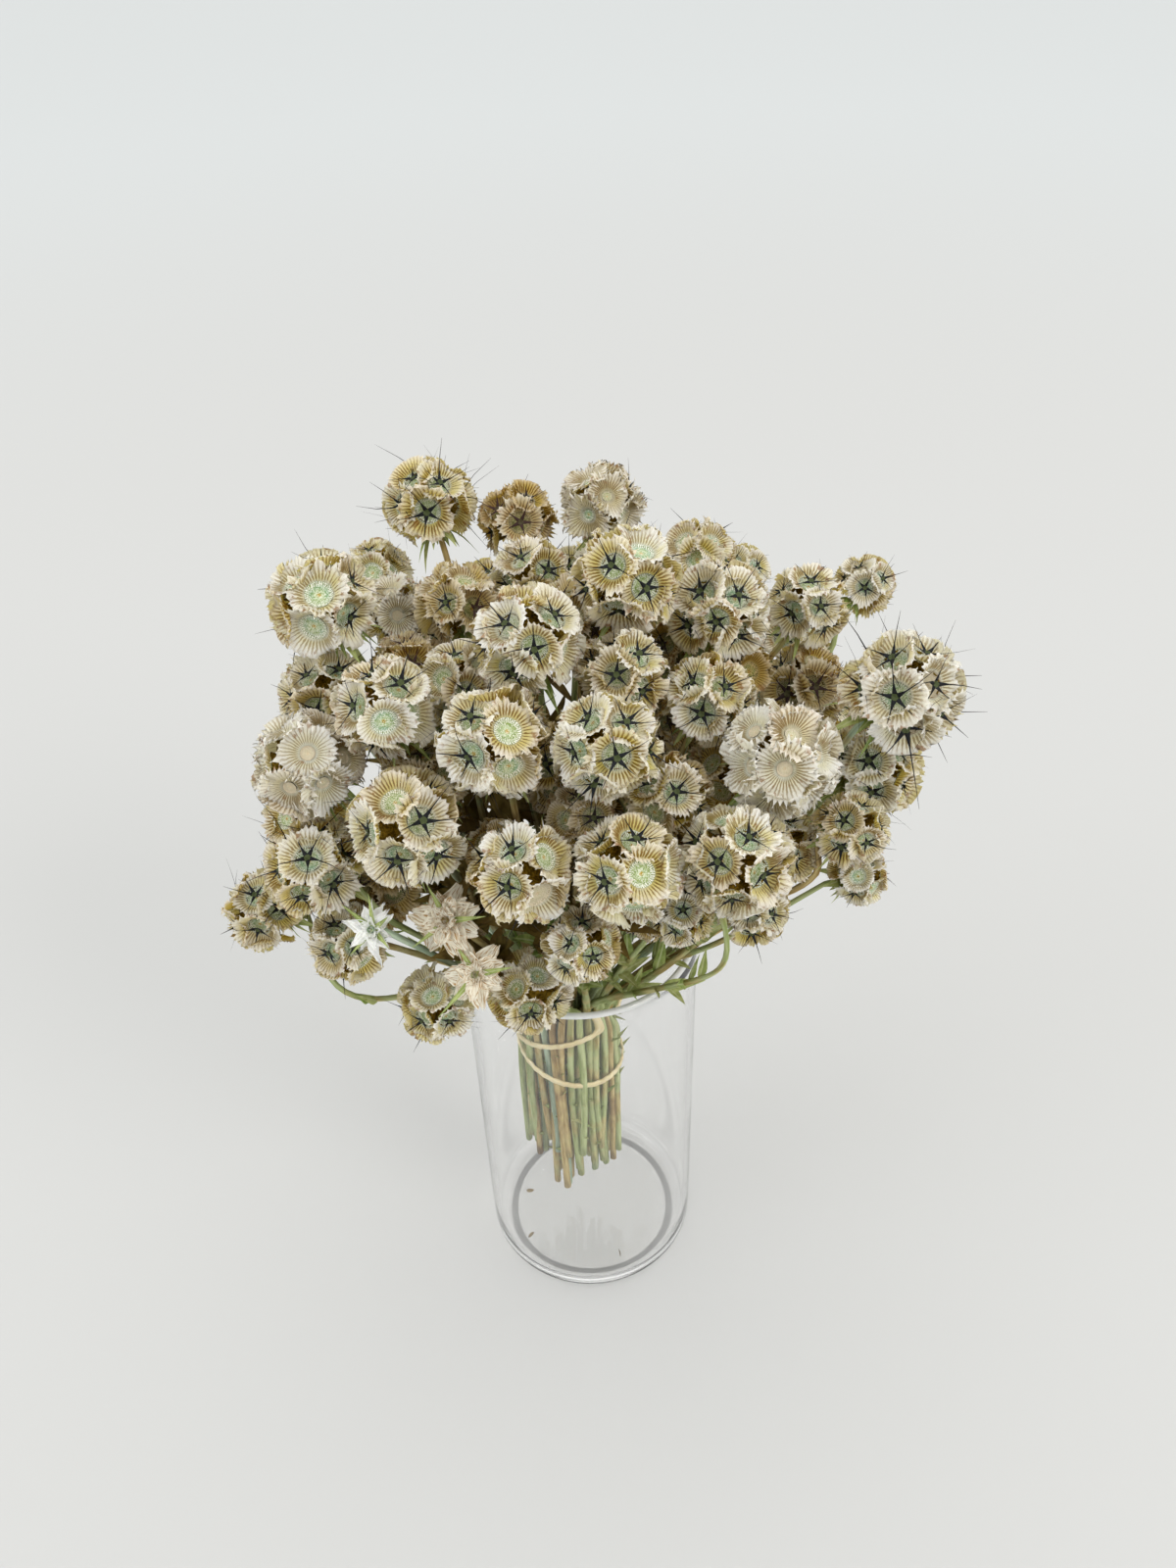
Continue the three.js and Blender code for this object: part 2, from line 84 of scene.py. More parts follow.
class Finish:
    """A procedural material: one Principled shader, and the nodes that feed it."""

    def __init__(self, name, roughness, shine):
        self.material = bpy.data.materials.new(name)
        self.material.use_nodes = True
        self.tree = self.material.node_tree
        self.shader = self.tree.nodes["Principled BSDF"]
        self.output = self.tree.nodes["Material Output"]
        self.shader.inputs["Roughness"].default_value = roughness
        self.shader.inputs["Specular IOR Level"].default_value = shine

    def put(self, socket, value):
        if isinstance(value, bpy.types.NodeSocket):
            self.tree.links.new(value, socket)
        elif isinstance(value, str):
            socket.default_value = paint(value)
        else:
            socket.default_value = value

    def add(self, kind, inputs=(), out=0, **settings):
        node = self.tree.nodes.new("ShaderNode" + kind)
        for name, value in settings.items():
            setattr(node, name, value)
        for name, value in dict(inputs).items():
            self.put(node.inputs[name], value)
        return node.outputs[out]

    def math(self, operation, *values):
        return self.add("Math", enumerate(values), operation=operation)

    def times(self, first, second):
        return self.math("MULTIPLY", first, second)

    def blend(self, share, first, second, way="MIX"):
        inputs = {0: share, 6: first, 7: second}
        return self.add("Mix", inputs, out=2, data_type="RGBA", blend_type=way)

    def stained(self, colour, stain_and_shade, share):
        """The colour under a share of a thin stain."""
        return self.blend(share, colour, stain_and_shade, way="MULTIPLY")

    def fade(self, value, start, end, low=0.0, high=1.0):
        """Runs smoothly from low to high while value runs from start to end."""
        inputs = {0: value, 1: start, 2: end, 3: low, 4: high}
        return self.add("MapRange", inputs, interpolation_type="SMOOTHSTEP")

    def turning(self, first, second, value, *ends):
        """Runs from the first colour to the second as the value fades between its ends."""
        return self.blend(self.fade(value, *ends), first, second)

    def waves(self, place, rate):
        """Even waves between 0 and 1 along a place."""
        crest = self.math("COSINE", self.times(place, rate))
        return self.math("MULTIPLY_ADD", crest, 0.5, 0.5)

    def noise(self, scale, detail=2.0, place=None):
        place = place or self.add("TexCoord", out=3)
        return self.add("TexNoise", {"Vector": place, "Scale": scale, "Detail": detail})

    def tones(self):
        """The three numbers that each point of a mesh holds for its finish."""
        return self.add("SeparateColor", {0: self.add("Attribute", attribute_name="tone")}).node.outputs

    def lie(self):
        """Where a point lies on its sheet: across it and outwards."""
        return self.add("SeparateXYZ", {0: self.add("UVMap", uv_map="lie")}).node.outputs[:2]

    def layers(self, colour, *stains):
        """Lays stains, and painted shade, over a colour, each as strong as its value fades between its ends.
        """
        for stain_and_shade, *fading in stains:
            colour = self.turning(colour, stain_and_shade, *fading)
        return colour

    def let_through(self, share, kind, colour):
        """Lets a share of the light through: Translucent as thin dry paper does, or Transparent."""
        through = self.add("Bsdf" + kind, {"Color": colour})
        both = self.add("MixShader", {0: share, 1: self.shader.outputs[0], 2: through})
        self.put(self.output.inputs["Surface"], both)

    def dressed(self, colour, height, strength, distance):
        """Gives the shader its colour and its bumps, strength and depth in metres, and is done."""
        bump = self.add("Bump", {"Height": height, "Strength": strength, "Distance": distance})
        self.put(self.shader.inputs["Base Color"], colour)
        self.put(self.shader.inputs["Normal"], bump)
        return self.material


def link_mesh(name, mesh, materials):
    piece = bpy.data.objects.new(name, mesh)
    for material in materials:
        mesh.materials.append(material)
    bpy.context.scene.collection.objects.link(piece)
    return piece


def full_turn(sides):
    return np.arange(sides) * 2 * math.pi / sides


def lay_floor():
    finish = Finish("pale_paper", roughness=0.6, shine=0.45)
    grain = finish.noise(900, 3)
    off = finish.add("VectorMath", {0: finish.add("TexCoord", out=3)}, out=1, operation="LENGTH")
    # Painted shade: the paper is darker near the vase and lighter far off.
    colour = finish.turning(*FLOOR_PAINTED_SHADE, off, FLOOR["near"], FLOOR["far"])
    colour = finish.turning(colour, FLOOR_GRAIN, grain, 0.3, 0.7, 0.0, 0.05)
    paper = finish.dressed(colour, grain, 0.05, 0.0002)
    radius, sides = FLOOR["radius"], FLOOR["sides"]
    rim = [(radius * math.cos(t), radius * math.sin(t), 0) for t in full_turn(sides)]
    mesh = bpy.data.meshes.new("floor")
    mesh.from_pydata(rim, [], [range(sides)])
    link_mesh("floor", mesh, [paper])


lay_floor()

# Light. A soft sky all round, and two large soft boxes high on either side: warm from the
# right, cooler from the left.
SKY = {"top": "#fefefa", "edge": "#d0d2d2", "strength": 1.42}
SOFT_BOXES = [  # name, place, width, watts, colour
    ("box_right", (2.3, -1.7, 2.3), 1.6, 36.0, (1.0, 0.985, 0.96)),
    ("box_left", (-2.6, -1.1, 2.0), 2.0, 19.0, (0.95, 0.98, 1.0)),
]
AIM = Vector((0, 0, 0.25))


def light_studio():
    world = bpy.data.worlds.new("studio")
    world.use_nodes = True
    tree = world.node_tree
    place = tree.nodes.new("ShaderNodeTexCoord")
    height = tree.nodes.new("ShaderNodeSeparateXYZ")
    ramp = tree.nodes.new("ShaderNodeValToRGB")
    ramp.color_ramp.elements[0].color = paint(SKY["edge"])
    ramp.color_ramp.elements[1].color = paint(SKY["top"])
    tree.links.new(place.outputs["Generated"], height.inputs[0])
    tree.links.new(height.outputs[2], ramp.inputs[0])
    tree.links.new(ramp.outputs[0], tree.nodes["Background"].inputs["Color"])
    tree.nodes["Background"].inputs["Strength"].default_value = SKY["strength"]
    bpy.context.scene.world = world
    for name, place, width, watts, colour in SOFT_BOXES:
        data = bpy.data.lights.new(name, "AREA")
        data.shape = "DISK"
        data.size = width
        data.energy = watts
        data.color = colour
        lamp = bpy.data.objects.new(name, data)
        lamp.location = place
        lamp.rotation_euler = (AIM - Vector(place)).to_track_quat("-Z", "Y").to_euler()
        bpy.context.scene.collection.objects.link(lamp)
    bpy.context.scene.view_settings.view_transform = "Standard"


light_studio()

# Vase. A straight cylinder of clear blown glass with a thick floor, slightly pushed up in the
# middle, a rounded heel and a rim melted to a half round. It stands on its base ring, without water.
VASE = {"radius": 0.050, "height": 0.200, "wall": 0.003, "floor": 0.006, "heel": 0.008, "sides": 128}
PUSHED_UP = [(0.0, 0.0010), (0.030, 0.0009), (0.036, 0.0004), (0.0385, 0.0)]
WALL_RINGS = (0.1, 0.25, 0.5, 0.75, 0.95)  # shares of the height
FLOOR_RING = 0.02
RIM_DEPTH = 0.62  # of the wall


class Block:
    """Part of a mesh: its points, its faces in rows of corners, and what the shaders read there."""

    def __init__(self, points, faces, finish=0, map_at=None, tone=(0, 0, 0)):
        self.points = np.asarray(points, float).reshape(-1, 3)
        self.faces = [np.asarray(rows, int) for rows in faces if len(rows)]
        self.finish = finish if isinstance(finish, list) else [finish] * len(self.faces)
        self.map_at = map_at if map_at is not None else [np.zeros(rows.shape + (2,)) for rows in self.faces]
        self.tone = np.broadcast_to(np.asarray(tone, float), (len(self.points), 3))


def build_piece(name, blocks, materials):
    """Joins blocks in one mesh object."""
    mesh = bpy.data.meshes.new(name)
    points = np.concatenate([block.points for block in blocks])
    tones = np.concatenate([block.tone for block in blocks])
    corners, starts, finishes, maps = [], [], [], []
    first_point = first_corner = 0
    for block in blocks:
        for rows, map_at, finish in zip(block.faces, block.map_at, block.finish):
            corners.append(rows.ravel() + first_point)
            starts.append(first_corner + np.arange(len(rows)) * rows.shape[1])
            finishes.append(np.full(len(rows), finish))
            maps.append(np.asarray(map_at).reshape(-1, 2))
            first_corner += rows.size
        first_point += len(block.points)
    corners, starts = np.concatenate(corners), np.concatenate(starts)
    mesh.vertices.add(len(points))
    mesh.vertices.foreach_set("co", points.astype(np.float32).ravel())
    mesh.loops.add(len(corners))
    mesh.loops.foreach_set("vertex_index", corners.astype(np.int32))
    mesh.polygons.add(len(starts))
    mesh.polygons.foreach_set("loop_start", starts.astype(np.int32))
    mesh.polygons.foreach_set("material_index", np.concatenate(finishes).astype(np.int32))
    mesh.polygons.foreach_set("use_smooth", np.ones(len(starts), bool))
    layer = mesh.uv_layers.new(name="lie")
    layer.data.foreach_set("uv", np.concatenate(maps).astype(np.float32).ravel())
    colours = np.concatenate([tones, np.ones((len(tones), 1))], axis=1)
    attribute = mesh.attributes.new("tone", "FLOAT_COLOR", "POINT")
    attribute.data.foreach_set("color", colours.astype(np.float32).ravel())
    mesh.update(calc_edges=True)
    mesh.validate()
    return link_mesh(name, mesh, materials)


def grid_faces(rows, columns, closed=True):
    """Faces between rows of points, each row a ring if closed."""
    wide = columns if closed else columns - 1
    i, j = np.meshgrid(np.arange(rows - 1), np.arange(wide), indexing="ij")
    after = (j + 1) % columns
    corners = [i * columns + j, i * columns + after, (i + 1) * columns + after, (i + 1) * columns + j]
    return np.stack(corners, axis=-1).reshape(-1, 4)


def arc(x, z, radius, start, end, steps):
    turns = np.linspace(math.radians(start), math.radians(end), steps)
    return [(x + radius * math.cos(t), z + radius * math.sin(t)) for t in turns]


def blow_vase():
    radius, height, wall, heel = VASE["radius"], VASE["height"], VASE["wall"], VASE["heel"]
    inner = heel - wall
    walls = [height * share for share in WALL_RINGS]
    profile = [
        *PUSHED_UP,
        *arc(radius - heel, heel, heel, -90, 0, 10),
        *[(radius, z) for z in walls],
        *arc(radius - wall / 2, height - wall / 2, wall / 2, 0, 180, 12),
        *[(radius - wall, z) for z in reversed(walls)],
        *arc(radius - heel, VASE["floor"] + inner, inner, 0, -90, 8),
        (FLOOR_RING, VASE["floor"]),
        (0.0, VASE["floor"]),
    ]
    sides = VASE["sides"]
    turns = full_turn(sides)
    ring = np.stack([np.cos(turns), np.sin(turns)], axis=-1)
    rings = [np.column_stack([ring * r, np.full(sides, z)]) for r, z in profile[1:-1]]
    low = len(rings) * sides
    points = np.concatenate([*rings, [(0, 0, profile[0][1]), (0, 0, profile[-1][1])]])
    around = np.arange(sides)
    after = (around + 1) % sides
    top = low - sides
    caps = [
        np.column_stack([np.full(sides, low), after, around]),
        np.column_stack([np.full(sides, low + 1), top + around, top + after]),
    ]
    walls_of_glass = grid_faces(len(rings), sides)
    # The top of the rim takes the painted highlight finish.
    rim = points[walls_of_glass, 2].mean(axis=1) > height - wall * RIM_DEPTH
    return Block(points, [walls_of_glass[~rim], np.concatenate(caps), walls_of_glass[rim]], [0, 0, 1])


def clear_glass():
    finish = Finish("clear_glass", roughness=0.0, shine=0.5)
    finish.shader.inputs["IOR"].default_value = 1.47
    finish.shader.inputs["Transmission Weight"].default_value = 1.0
    smear_and_highlight = finish.noise(45, 4)
    finish.put(finish.shader.inputs["Roughness"], finish.fade(smear_and_highlight, 0.55, 0.8, 0.0, 0.06))
    shade = finish.add("LightPath", out=1)
    finish.let_through(shade, "Transparent", "#f7f7f6")
    return finish.dressed("#ffffff", finish.noise(14, 1), 0.06, 0.002)


def painted_rim_highlight():
    """A painted highlight: the rim gathers the light of the room, so it gets an almost white, mostly opaque
    finish that shows as a soft white band.
    """
    finish = Finish("painted_rim_highlight", roughness=0.12, shine=0.9)
    # Painted highlight: its white varies a little with this noise, which also makes its bumps.
    smear_and_highlight = finish.noise(60)
    finish.let_through(0.3, "Transparent", "#fbfbfa")
    return finish.dressed(finish.turning("#f4f6f4", "#fdfdfc", smear_and_highlight, 0.3, 0.7), smear_and_highlight, 0.05, 0.001)


vase = build_piece("vase_glass", [blow_vase()], [clear_glass(), painted_rim_highlight()])
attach(vase, "root")
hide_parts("vase")

# Stems. Seventy-three dry stalks, pale green to straw, cut straight below and held in one bundle.
# They fan out above the band, lean on the rim and on each other, and end in green bracts under each
# head. Leaves and side stalks grow on them, and three have lost their seeds and kept a bare star.
MM = 0.001
GAP = 0.3  # millimetres, as all the sizes of this section
BUNDLE = {"x": -6, "y": -2, "lowest": 42, "uneven": 38, "radius": 1.6, "tip": 1.2, "slimmer": 0.2}
RINGS = [(6, 5), (12, 10.2), (22, 15.4), (33, 20.6)]  # stems in each ring, ring radius
BAND_TOP = 161.5
STEM = {"straight": 9, "lead": 7, "spare": 0.6, "steps": 44, "rounds": 390, "pull": 0.45}
OVER_RIM = {"out": 3, "up": 7, "beyond": 4, "slope": 1.9}  # the stems that lie over the rim
STALK = {"sides": 9, "rings": 34, "below": 9, "ridge": 0.07, "girth": 3.5, "thins_at": 172, "thins_over": 60}
SWAY = {"bow": 1.7, "lean": 3}  # of the cut ends in the glass
UNDERSIDE = 0.62  # of a head's radius
BRACTS = {"count": 10, "reach": 0.6, "long": (1.15, 1.55), "short": (0.7, 1.0),
          "half_width": 1.9, "clearance": 0.8}
BRACT_SHAPE = np.array([0.5, 0.85, 1.0, 0.9, 0.65, 0.35, 0.04])  # half widths from root to tip, as below
SEPAL_SHAPE = np.array([0.8, 1.0, 0.9, 0.7, 0.5, 0.3, 0.04])
LEAF_SHAPE = np.array([0.25, 0.6, 0.95, 1.0, 0.9, 0.72, 0.5, 0.28, 0.03])
CRUMB_SHAPE = np.array([0.4, 1, 1, 0.8, 0.2])
PETAL_SHAPES = {
    0.0: np.array([0.35, 0.75, 1.0, 1.08, 0.95, 0.7, 0.42]),
    1.0: np.array([0.4, 0.8, 0.95, 0.85, 0.6, 0.35, 0.1]),
}
PETAL_LAYERS = ((1.05, 0.12), (0.75, 0.4), (0.4, 0.8))  # length and lift, as shares of the reach
LEAF_LEAN = 0.85
LEAF_SLENDER = 0.19  # half width as a share of the length
NECK_LEAVES = {  # the fresh ones: between which heights they grow, and how many on a stem
    "leafy": {"lowest": 186, "highest": 240, "count": 9},
    "plain": {"lowest": 186, "highest": 226, "count": 3},
}
DEEP_LEAVES = {"lowest": 238, "within": 62, "below_head": 0.85, "count": 10}  # the withered ones
SCRAPS = {"count": 3, "from": 0.1, "to": 0.95}  # on the part of a stem that stands in the glass
LEAVES = {
    "fresh": {"browning": (0, 0.45), "withered": 0.0, "length": (8, 14), "room": 0.8},
    "withered": {"browning": (0.2, 1.0), "withered": 1.0, "length": (12, 26), "room": 0.6},
    "scrap": {"browning": (0, 0.6), "withered": 0.0, "length": (4, 9), "room": 0.6, "half_width": 1.1},
}
STALK_FINISH, LEAF_FINISH, PETAL_FINISH = range(3)
NECK = np.array([-4, 2, 185])  # the heads face away from here

# Centre, radius and turn in degrees of each seed head, from the crown at the back to the skirt in front.
HEADS = [
    (-51, 77, 357, 16.6, 115), (-17, 76, 348, 14.8, 175), (16, 82, 350, 16.5, 80),
    (53, 62, 338, 13.5, 10), (-76, 80, 325, 13.6, 315), (-85, 15, 349, 18, 245),
    (-65, 47, 325, 15, 325), (-39, 28, 339, 15, 210), (-12, 45, 340, 14.8, 115),
    (22, 4, 360, 18, 325), (55, 10, 343, 17, 145), (91, 33, 330, 14.8, 70),
    (123, 77, 313, 12, 0), (116, -17, 324, 19.5, 125), (91, 26, 297, 16.5, 200),
    (62, 20, 312, 14.8, 235), (-12, -19, 352, 17.5, 90), (19, -21, 338, 14.8, 340),
    (13, -52, 331, 16.8, 15), (-23, -47, 331, 18, 180), (-36, -9, 328, 15, 90),
    (-60, -30, 334, 16.5, 85), (-88, 7, 316, 16, 300), (-89, -32, 313, 17.8, 60),
    (-53, -60, 307, 18.5, 65), (-51, -24, 301, 15, 0), (-97, -17, 276, 16, 275),
    (-89, -50, 282, 16.5, 200), (-115, -36, 250, 14.2, 80), (-81, -57, 252, 13.6, 265),
    (-16, -74, 298, 16.3, 105), (18, -77, 300, 17, 310), (33, -46, 305, 14.5, 275),
    (49, -20, 326, 14.9, 285), (70.5, -45.5, 319, 18.3, 200), (57, -21, 294, 15.2, 5),
    (54, -71, 297, 17.5, 155), (112, -8, 284, 17.5, 250), (99, -38, 280, 12.8, 5),
    (105, -34, 254, 10.5, 30), (76, -27, 263, 14.5, 5), (63, -52, 257, 12.5, 315),
    (37, -65, 268, 10.8, 195), (2, -78, 268, 12.4, 180), (-17, -70, 238, 14, 135),
    (-51, -66, 229, 13.4, 240), (5, -41, 294, 13, 160), (29, -6, 309, 12, 260),
    (-96, 45, 286, 16, 355), (-50, 86, 296, 16, 95), (6, 97, 308, 16, 190),
    (16, 51, 324, 16, 290), (72, 86, 315, 12.5, 25), (93, 68, 292, 16, 120),
    (-25, 103, 262, 16, 220), (28, 106, 270, 16, 315), (75, 97, 258, 16, 55),
]

# Heads at the back and deep in the bunch, pressed into the one beside them, with that head's row.
PRESSED = [
    (-32, 104, 300, 15, 150, 49), (31, 104, 314, 15, 250, 50), (-90, 62, 266, 14, 345, 48),
    (103, 50, 276, 15, 85, 53), (-48, 95, 254, 15, 180, 54), (90, 80, 246, 15, 280, 56),
    (-57, 8, 322, 15, 40, 20), (43, 38, 314, 15, 130, 15), (33, 13, 295, 14, 210, 47),
    (-73, -33, 256, 15, 300, 29), (102, 5, 259, 14, 20, 37), (-5, -18, 297, 15, 110, 46),
    (5, 17, 339, 14.5, 60, 9),
]

# Bare receptacles: place, reach, petals, and 1 for the fresh green one.
STARS = [(-67, -75, 276, 9, 7, 1.0), (-43, -70, 274, 12, 10, 0.0), (-34, -80, 258, 11, 7, 0.0)]
DETOURS = {28: [(-62, -52, 216), (-92, -66, 226)], 36: [(40, -52, 219), (58, -72, 246)], 39: [(50, -36, 219)]}
LEAFY = {36, 40, 41, 42, 43}  # rows of the heads whose stems keep their leaves
CRUMBS = [(-34, 4), (-29, -20), (13, -35)]  # bits that have dropped on the vase's floor

centres = np.array([head[:3] for head in HEADS + PRESSED], float)
radii = np.array([head[3] for head in HEADS + PRESSED], float)
head_turns = np.radians([head[4] for head in HEADS + PRESSED])


def draw(number):
    """A repeatable draw between 0 and 1 for each number."""
    value = math.sin(number * 12.9898 + 4.1414) * 43758.5453
    return value - math.floor(value)


def unit(vectors):
    return vectors / norm(vectors, axis=-1, keepdims=True)


def tilted(axis, polar, around):
    """A direction at an angle to an axis, turned around it."""
    side = unit(np.cross((0, 1, 0), axis))
    other = np.cross(axis, side)
    return (axis * math.cos(polar) + side * math.sin(polar) * math.cos(around)
            + other * math.sin(polar) * math.sin(around))


def between(t, start, end, first, second):
    """On the way from first to second while t runs from start to end."""
    return (end - t) / (end - start) * first + (t - start) / (end - start) * second


def lengths_along(line):
    return np.concatenate([[0], np.cumsum(norm(np.diff(line, axis=0), axis=1))])


def smooth_line(guides, count):
    """Evenly spaced points on a smooth curve through the guides."""
    guides = np.asarray(guides, float)
    ends = [2 * guides[0] - guides[1], *guides, 2 * guides[-1] - guides[-2]]
    fine = []
    for a, b, c, d in zip(ends, ends[1:], ends[2:], ends[3:]):
        pairs = ((a, b), (b, c), (c, d))
        knots = np.cumsum([0, *[max(norm(q - p), 1e-6) ** 0.5 for p, q in pairs]])
        t = np.linspace(knots[1], knots[2], 24, endpoint=False)[:, None]
        ab, bc, cd = [between(t, knots[k], knots[k + 1], *pair) for k, pair in enumerate(pairs)]
        low = between(t, knots[0], knots[2], ab, bc)
        high = between(t, knots[1], knots[3], bc, cd)
        fine.append(between(t, knots[1], knots[2], low, high))
    fine = np.concatenate([*fine, [guides[-1]]])
    along = lengths_along(fine)
    even = np.linspace(0, along[-1], count)
    return np.stack([np.interp(even, along, fine[:, k]) for k in range(3)], axis=-1)


def carried_ends():
    """What each stem carries, and its place in the bundle: the stems that lean least are inside."""
    ends = []
    for row, (centre, radius) in enumerate(zip(centres, radii)):
        axis = unit(centre - NECK)
        meets = centre - axis * (UNDERSIDE * radius + GAP)
        ends.append({"row": row, "axis": axis, "meets": meets, "reach": radius * BRACTS["reach"]})
    for x, y, z, reach, petals, green in STARS:
        meets = np.array([x, y, z], float)
        ends.append({"row": -1, "axis": unit(meets - NECK), "meets": meets, "reach": reach,
                     "petals": petals, "green": green})
    by_lean = sorted(ends, key=lambda end: -end["axis"][2])
    for count, radius in RINGS:
        ring, by_lean = by_lean[:count], by_lean[count:]
        ring.sort(key=lambda end: math.atan2(end["axis"][1], end["axis"][0]))
        for k, end in enumerate(ring):
            around = 2 * math.pi * (k + 0.5) / len(ring) - math.pi
            end["x"] = BUNDLE["x"] + radius * math.cos(around)
            end["y"] = BUNDLE["y"] + radius * math.sin(around)
    return ends


def rim_away(points):
    """The way to points from the middle line of the glass rim, in mm."""
    middle = VASE["wall"] / MM / 2
    near = unit(points * (1, 1, 0) + 1e-9) * (VASE["radius"] / MM - middle)
    near[..., 2] = VASE["height"] / MM - middle
    return points - near


def stem_routes(ends):
    """The way of each stem from the band to its head: a stretched line that bends round the heads
    and over the rim of the glass."""
    steps, lead = STEM["steps"], STEM["lead"]
    wall, vase_radius, top = VASE["wall"] / MM, VASE["radius"] / MM, VASE["height"] / MM
    number = np.arange(steps + 1)
    paths, pulls = [], []
    for end in ends:
        start = np.array([end["x"], end["y"], BAND_TOP])
        below = end["meets"] - end["axis"] * lead
        flat = math.hypot(below[0], below[1])
        crossing = [*(below[:2] / flat * (vase_radius + OVER_RIM["out"])), top + OVER_RIM["up"]]
        slope = (below[2] - BAND_TOP) / max(1, math.hypot(below[0] - start[0], below[1] - start[1]))
        low = slope < OVER_RIM["slope"] and flat > vase_radius + OVER_RIM["beyond"]
        detour = DETOURS.get(end["row"], [])
        ways = [crossing, *detour] if low else detour
        upright = start + (0, 0, STEM["straight"])
        path = smooth_line([start, upright, *ways, below, end["meets"]], steps + 1)
        held = round(steps * lead / norm(start - end["meets"]))
        pull = np.where((number > held) & (number < steps - held), STEM["pull"], 0.0)
        for via in detour:
            pull[norm(path - via, axis=1) < lead] /= 20
        paths.append(path)
        pulls.append(pull)
    path, pull = np.array(paths), np.array(pulls)[:, 1:-1, None]
    rows = np.array([end["row"] for end in ends])
    room = BUNDLE["tip"] + STEM["spare"]
    apart = norm(path[:, :, None] - centres, axis=-1).min(axis=1)
    beside = (apart < radii + 25) & (rows[:, None] != np.arange(len(centres)))
    for _ in range(STEM["rounds"]):
        inner = path[:, 1:-1]
        moved = inner + pull * ((path[:, :-2] + path[:, 2:]) / 2 - inner)
        for k, (centre, radius) in enumerate(zip(centres, radii)):
            near = np.flatnonzero(beside[:, k])
            away = moved[near] - centre
            far = norm(away, axis=-1, keepdims=True)
            reach = radius + room + GAP
            moved[near] = np.where(far < reach, centre + away / far * reach, moved[near])
        away = rim_away(moved)
        far = norm(away, axis=-1, keepdims=True)
        reach = wall / 2 + room + 1.5 * GAP
        moved = np.where(far < reach, moved + away / far * (reach - far), moved)
        round_axis = norm(moved[..., :2], axis=-1, keepdims=True)
        bore = vase_radius - wall - room - GAP
        inside = (away[..., 2:] < 0) & (round_axis > bore) & (round_axis < vase_radius - wall / 2)
        moved[..., :2] = np.where(inside, moved[..., :2] * bore / round_axis, moved[..., :2])
        path[:, 1:-1] = np.where(pull > 0, moved, inner)
    return path


def ring_frames(line):
    """For each point of a line, two directions across it that don't twist along it."""
    along = unit(np.gradient(line, axis=0))
    side = unit(np.array([1.0, 1.0, 0.0]))
    sides = []
    for way in along:
        side = unit(side - way * np.dot(side, way))
        sides.append(side)
    return np.array(sides), np.cross(along, sides)


def cell_corners(rows, columns):
    """For each face between rows of points, the columns and the rows of its corners."""
    i, j = np.divmod(np.arange((rows - 1) * columns), columns)
    return np.stack([j, j + 1, j + 1, j], axis=-1), np.stack([i, i, i + 1, i + 1], axis=-1)


def stalk(line, thick, tone, seed):
    """A ridged stalk with a few swollen joints, closed below by its cut end."""
    chance = np.random.default_rng(seed)
    side, other = ring_frames(line)
    rows, sides = len(line), STALK["sides"]
    turns = full_turn(sides)
    ridged = 1 + STALK["ridge"] * np.cos(turns * 3 + chance.uniform(0, 6))
    thick = thick * (1 + 0.05 * np.sin(np.arange(rows) * 0.9 + chance.uniform(0, 6)))
    for joint in chance.integers(min(STALK["below"], rows // 2), rows - 4, 2):
        thick[joint] *= 1.3
    across = side[:, None] * np.cos(turns)[:, None] + other[:, None] * np.sin(turns)[:, None]
    points = line[:, None] + across * (thick[:, None] * ridged)[..., None]
    column, row = cell_corners(rows, sides)
    maps = np.stack([column * STALK["girth"] / sides, lengths_along(line)[row]], axis=-1) * MM
    around = np.arange(sides)
    cap = np.column_stack([np.full(sides, rows * sides), (around + 1) % sides, around])
    points = np.concatenate([points.reshape(-1, 3), [line[0]]])
    faces, maps = [grid_faces(rows, sides), cap], [maps, np.zeros((sides, 3, 2))]
    return Block(points * MM, faces, STALK_FINISH, maps, tone)


def sheet(points, finish, tone):
    """An open sheet, from a row of points across it at each point along it."""
    rows, columns = points.shape[:2]
    column, row = cell_corners(rows, columns - 1)
    maps = np.stack([column / (columns - 1), row / (rows - 1)], axis=-1)
    return Block(points * MM, [grid_faces(rows, columns, closed=False)], finish, [maps], tone)


def square_frame(line, across):
    """The way along a line, the way across made square to it, and the way up from both."""
    along = unit(np.gradient(line, axis=0))
    across = unit(across - along * (along * across).sum(axis=1, keepdims=True))
    return along, across, np.cross(along, across)


def blade(line, half_widths, across, fold, tone):
    """A thin leaf blade along a line, folded up along its midrib."""
    _, across, up = square_frame(line, across)
    wide = half_widths[:, None]
    left = line - across * wide + up * wide * fold
    right = line + across * wide + up * wide * fold
    return sheet(np.stack([left, line, right], axis=1), LEAF_FINISH, tone)


def bent_line(start, direction, droop, length, rows=7):
    """A line that leaves along direction and bends towards droop."""
    share = np.linspace(0, 1, rows)[:, None]
    return start + direction * share * length + droop * share ** 2 * length


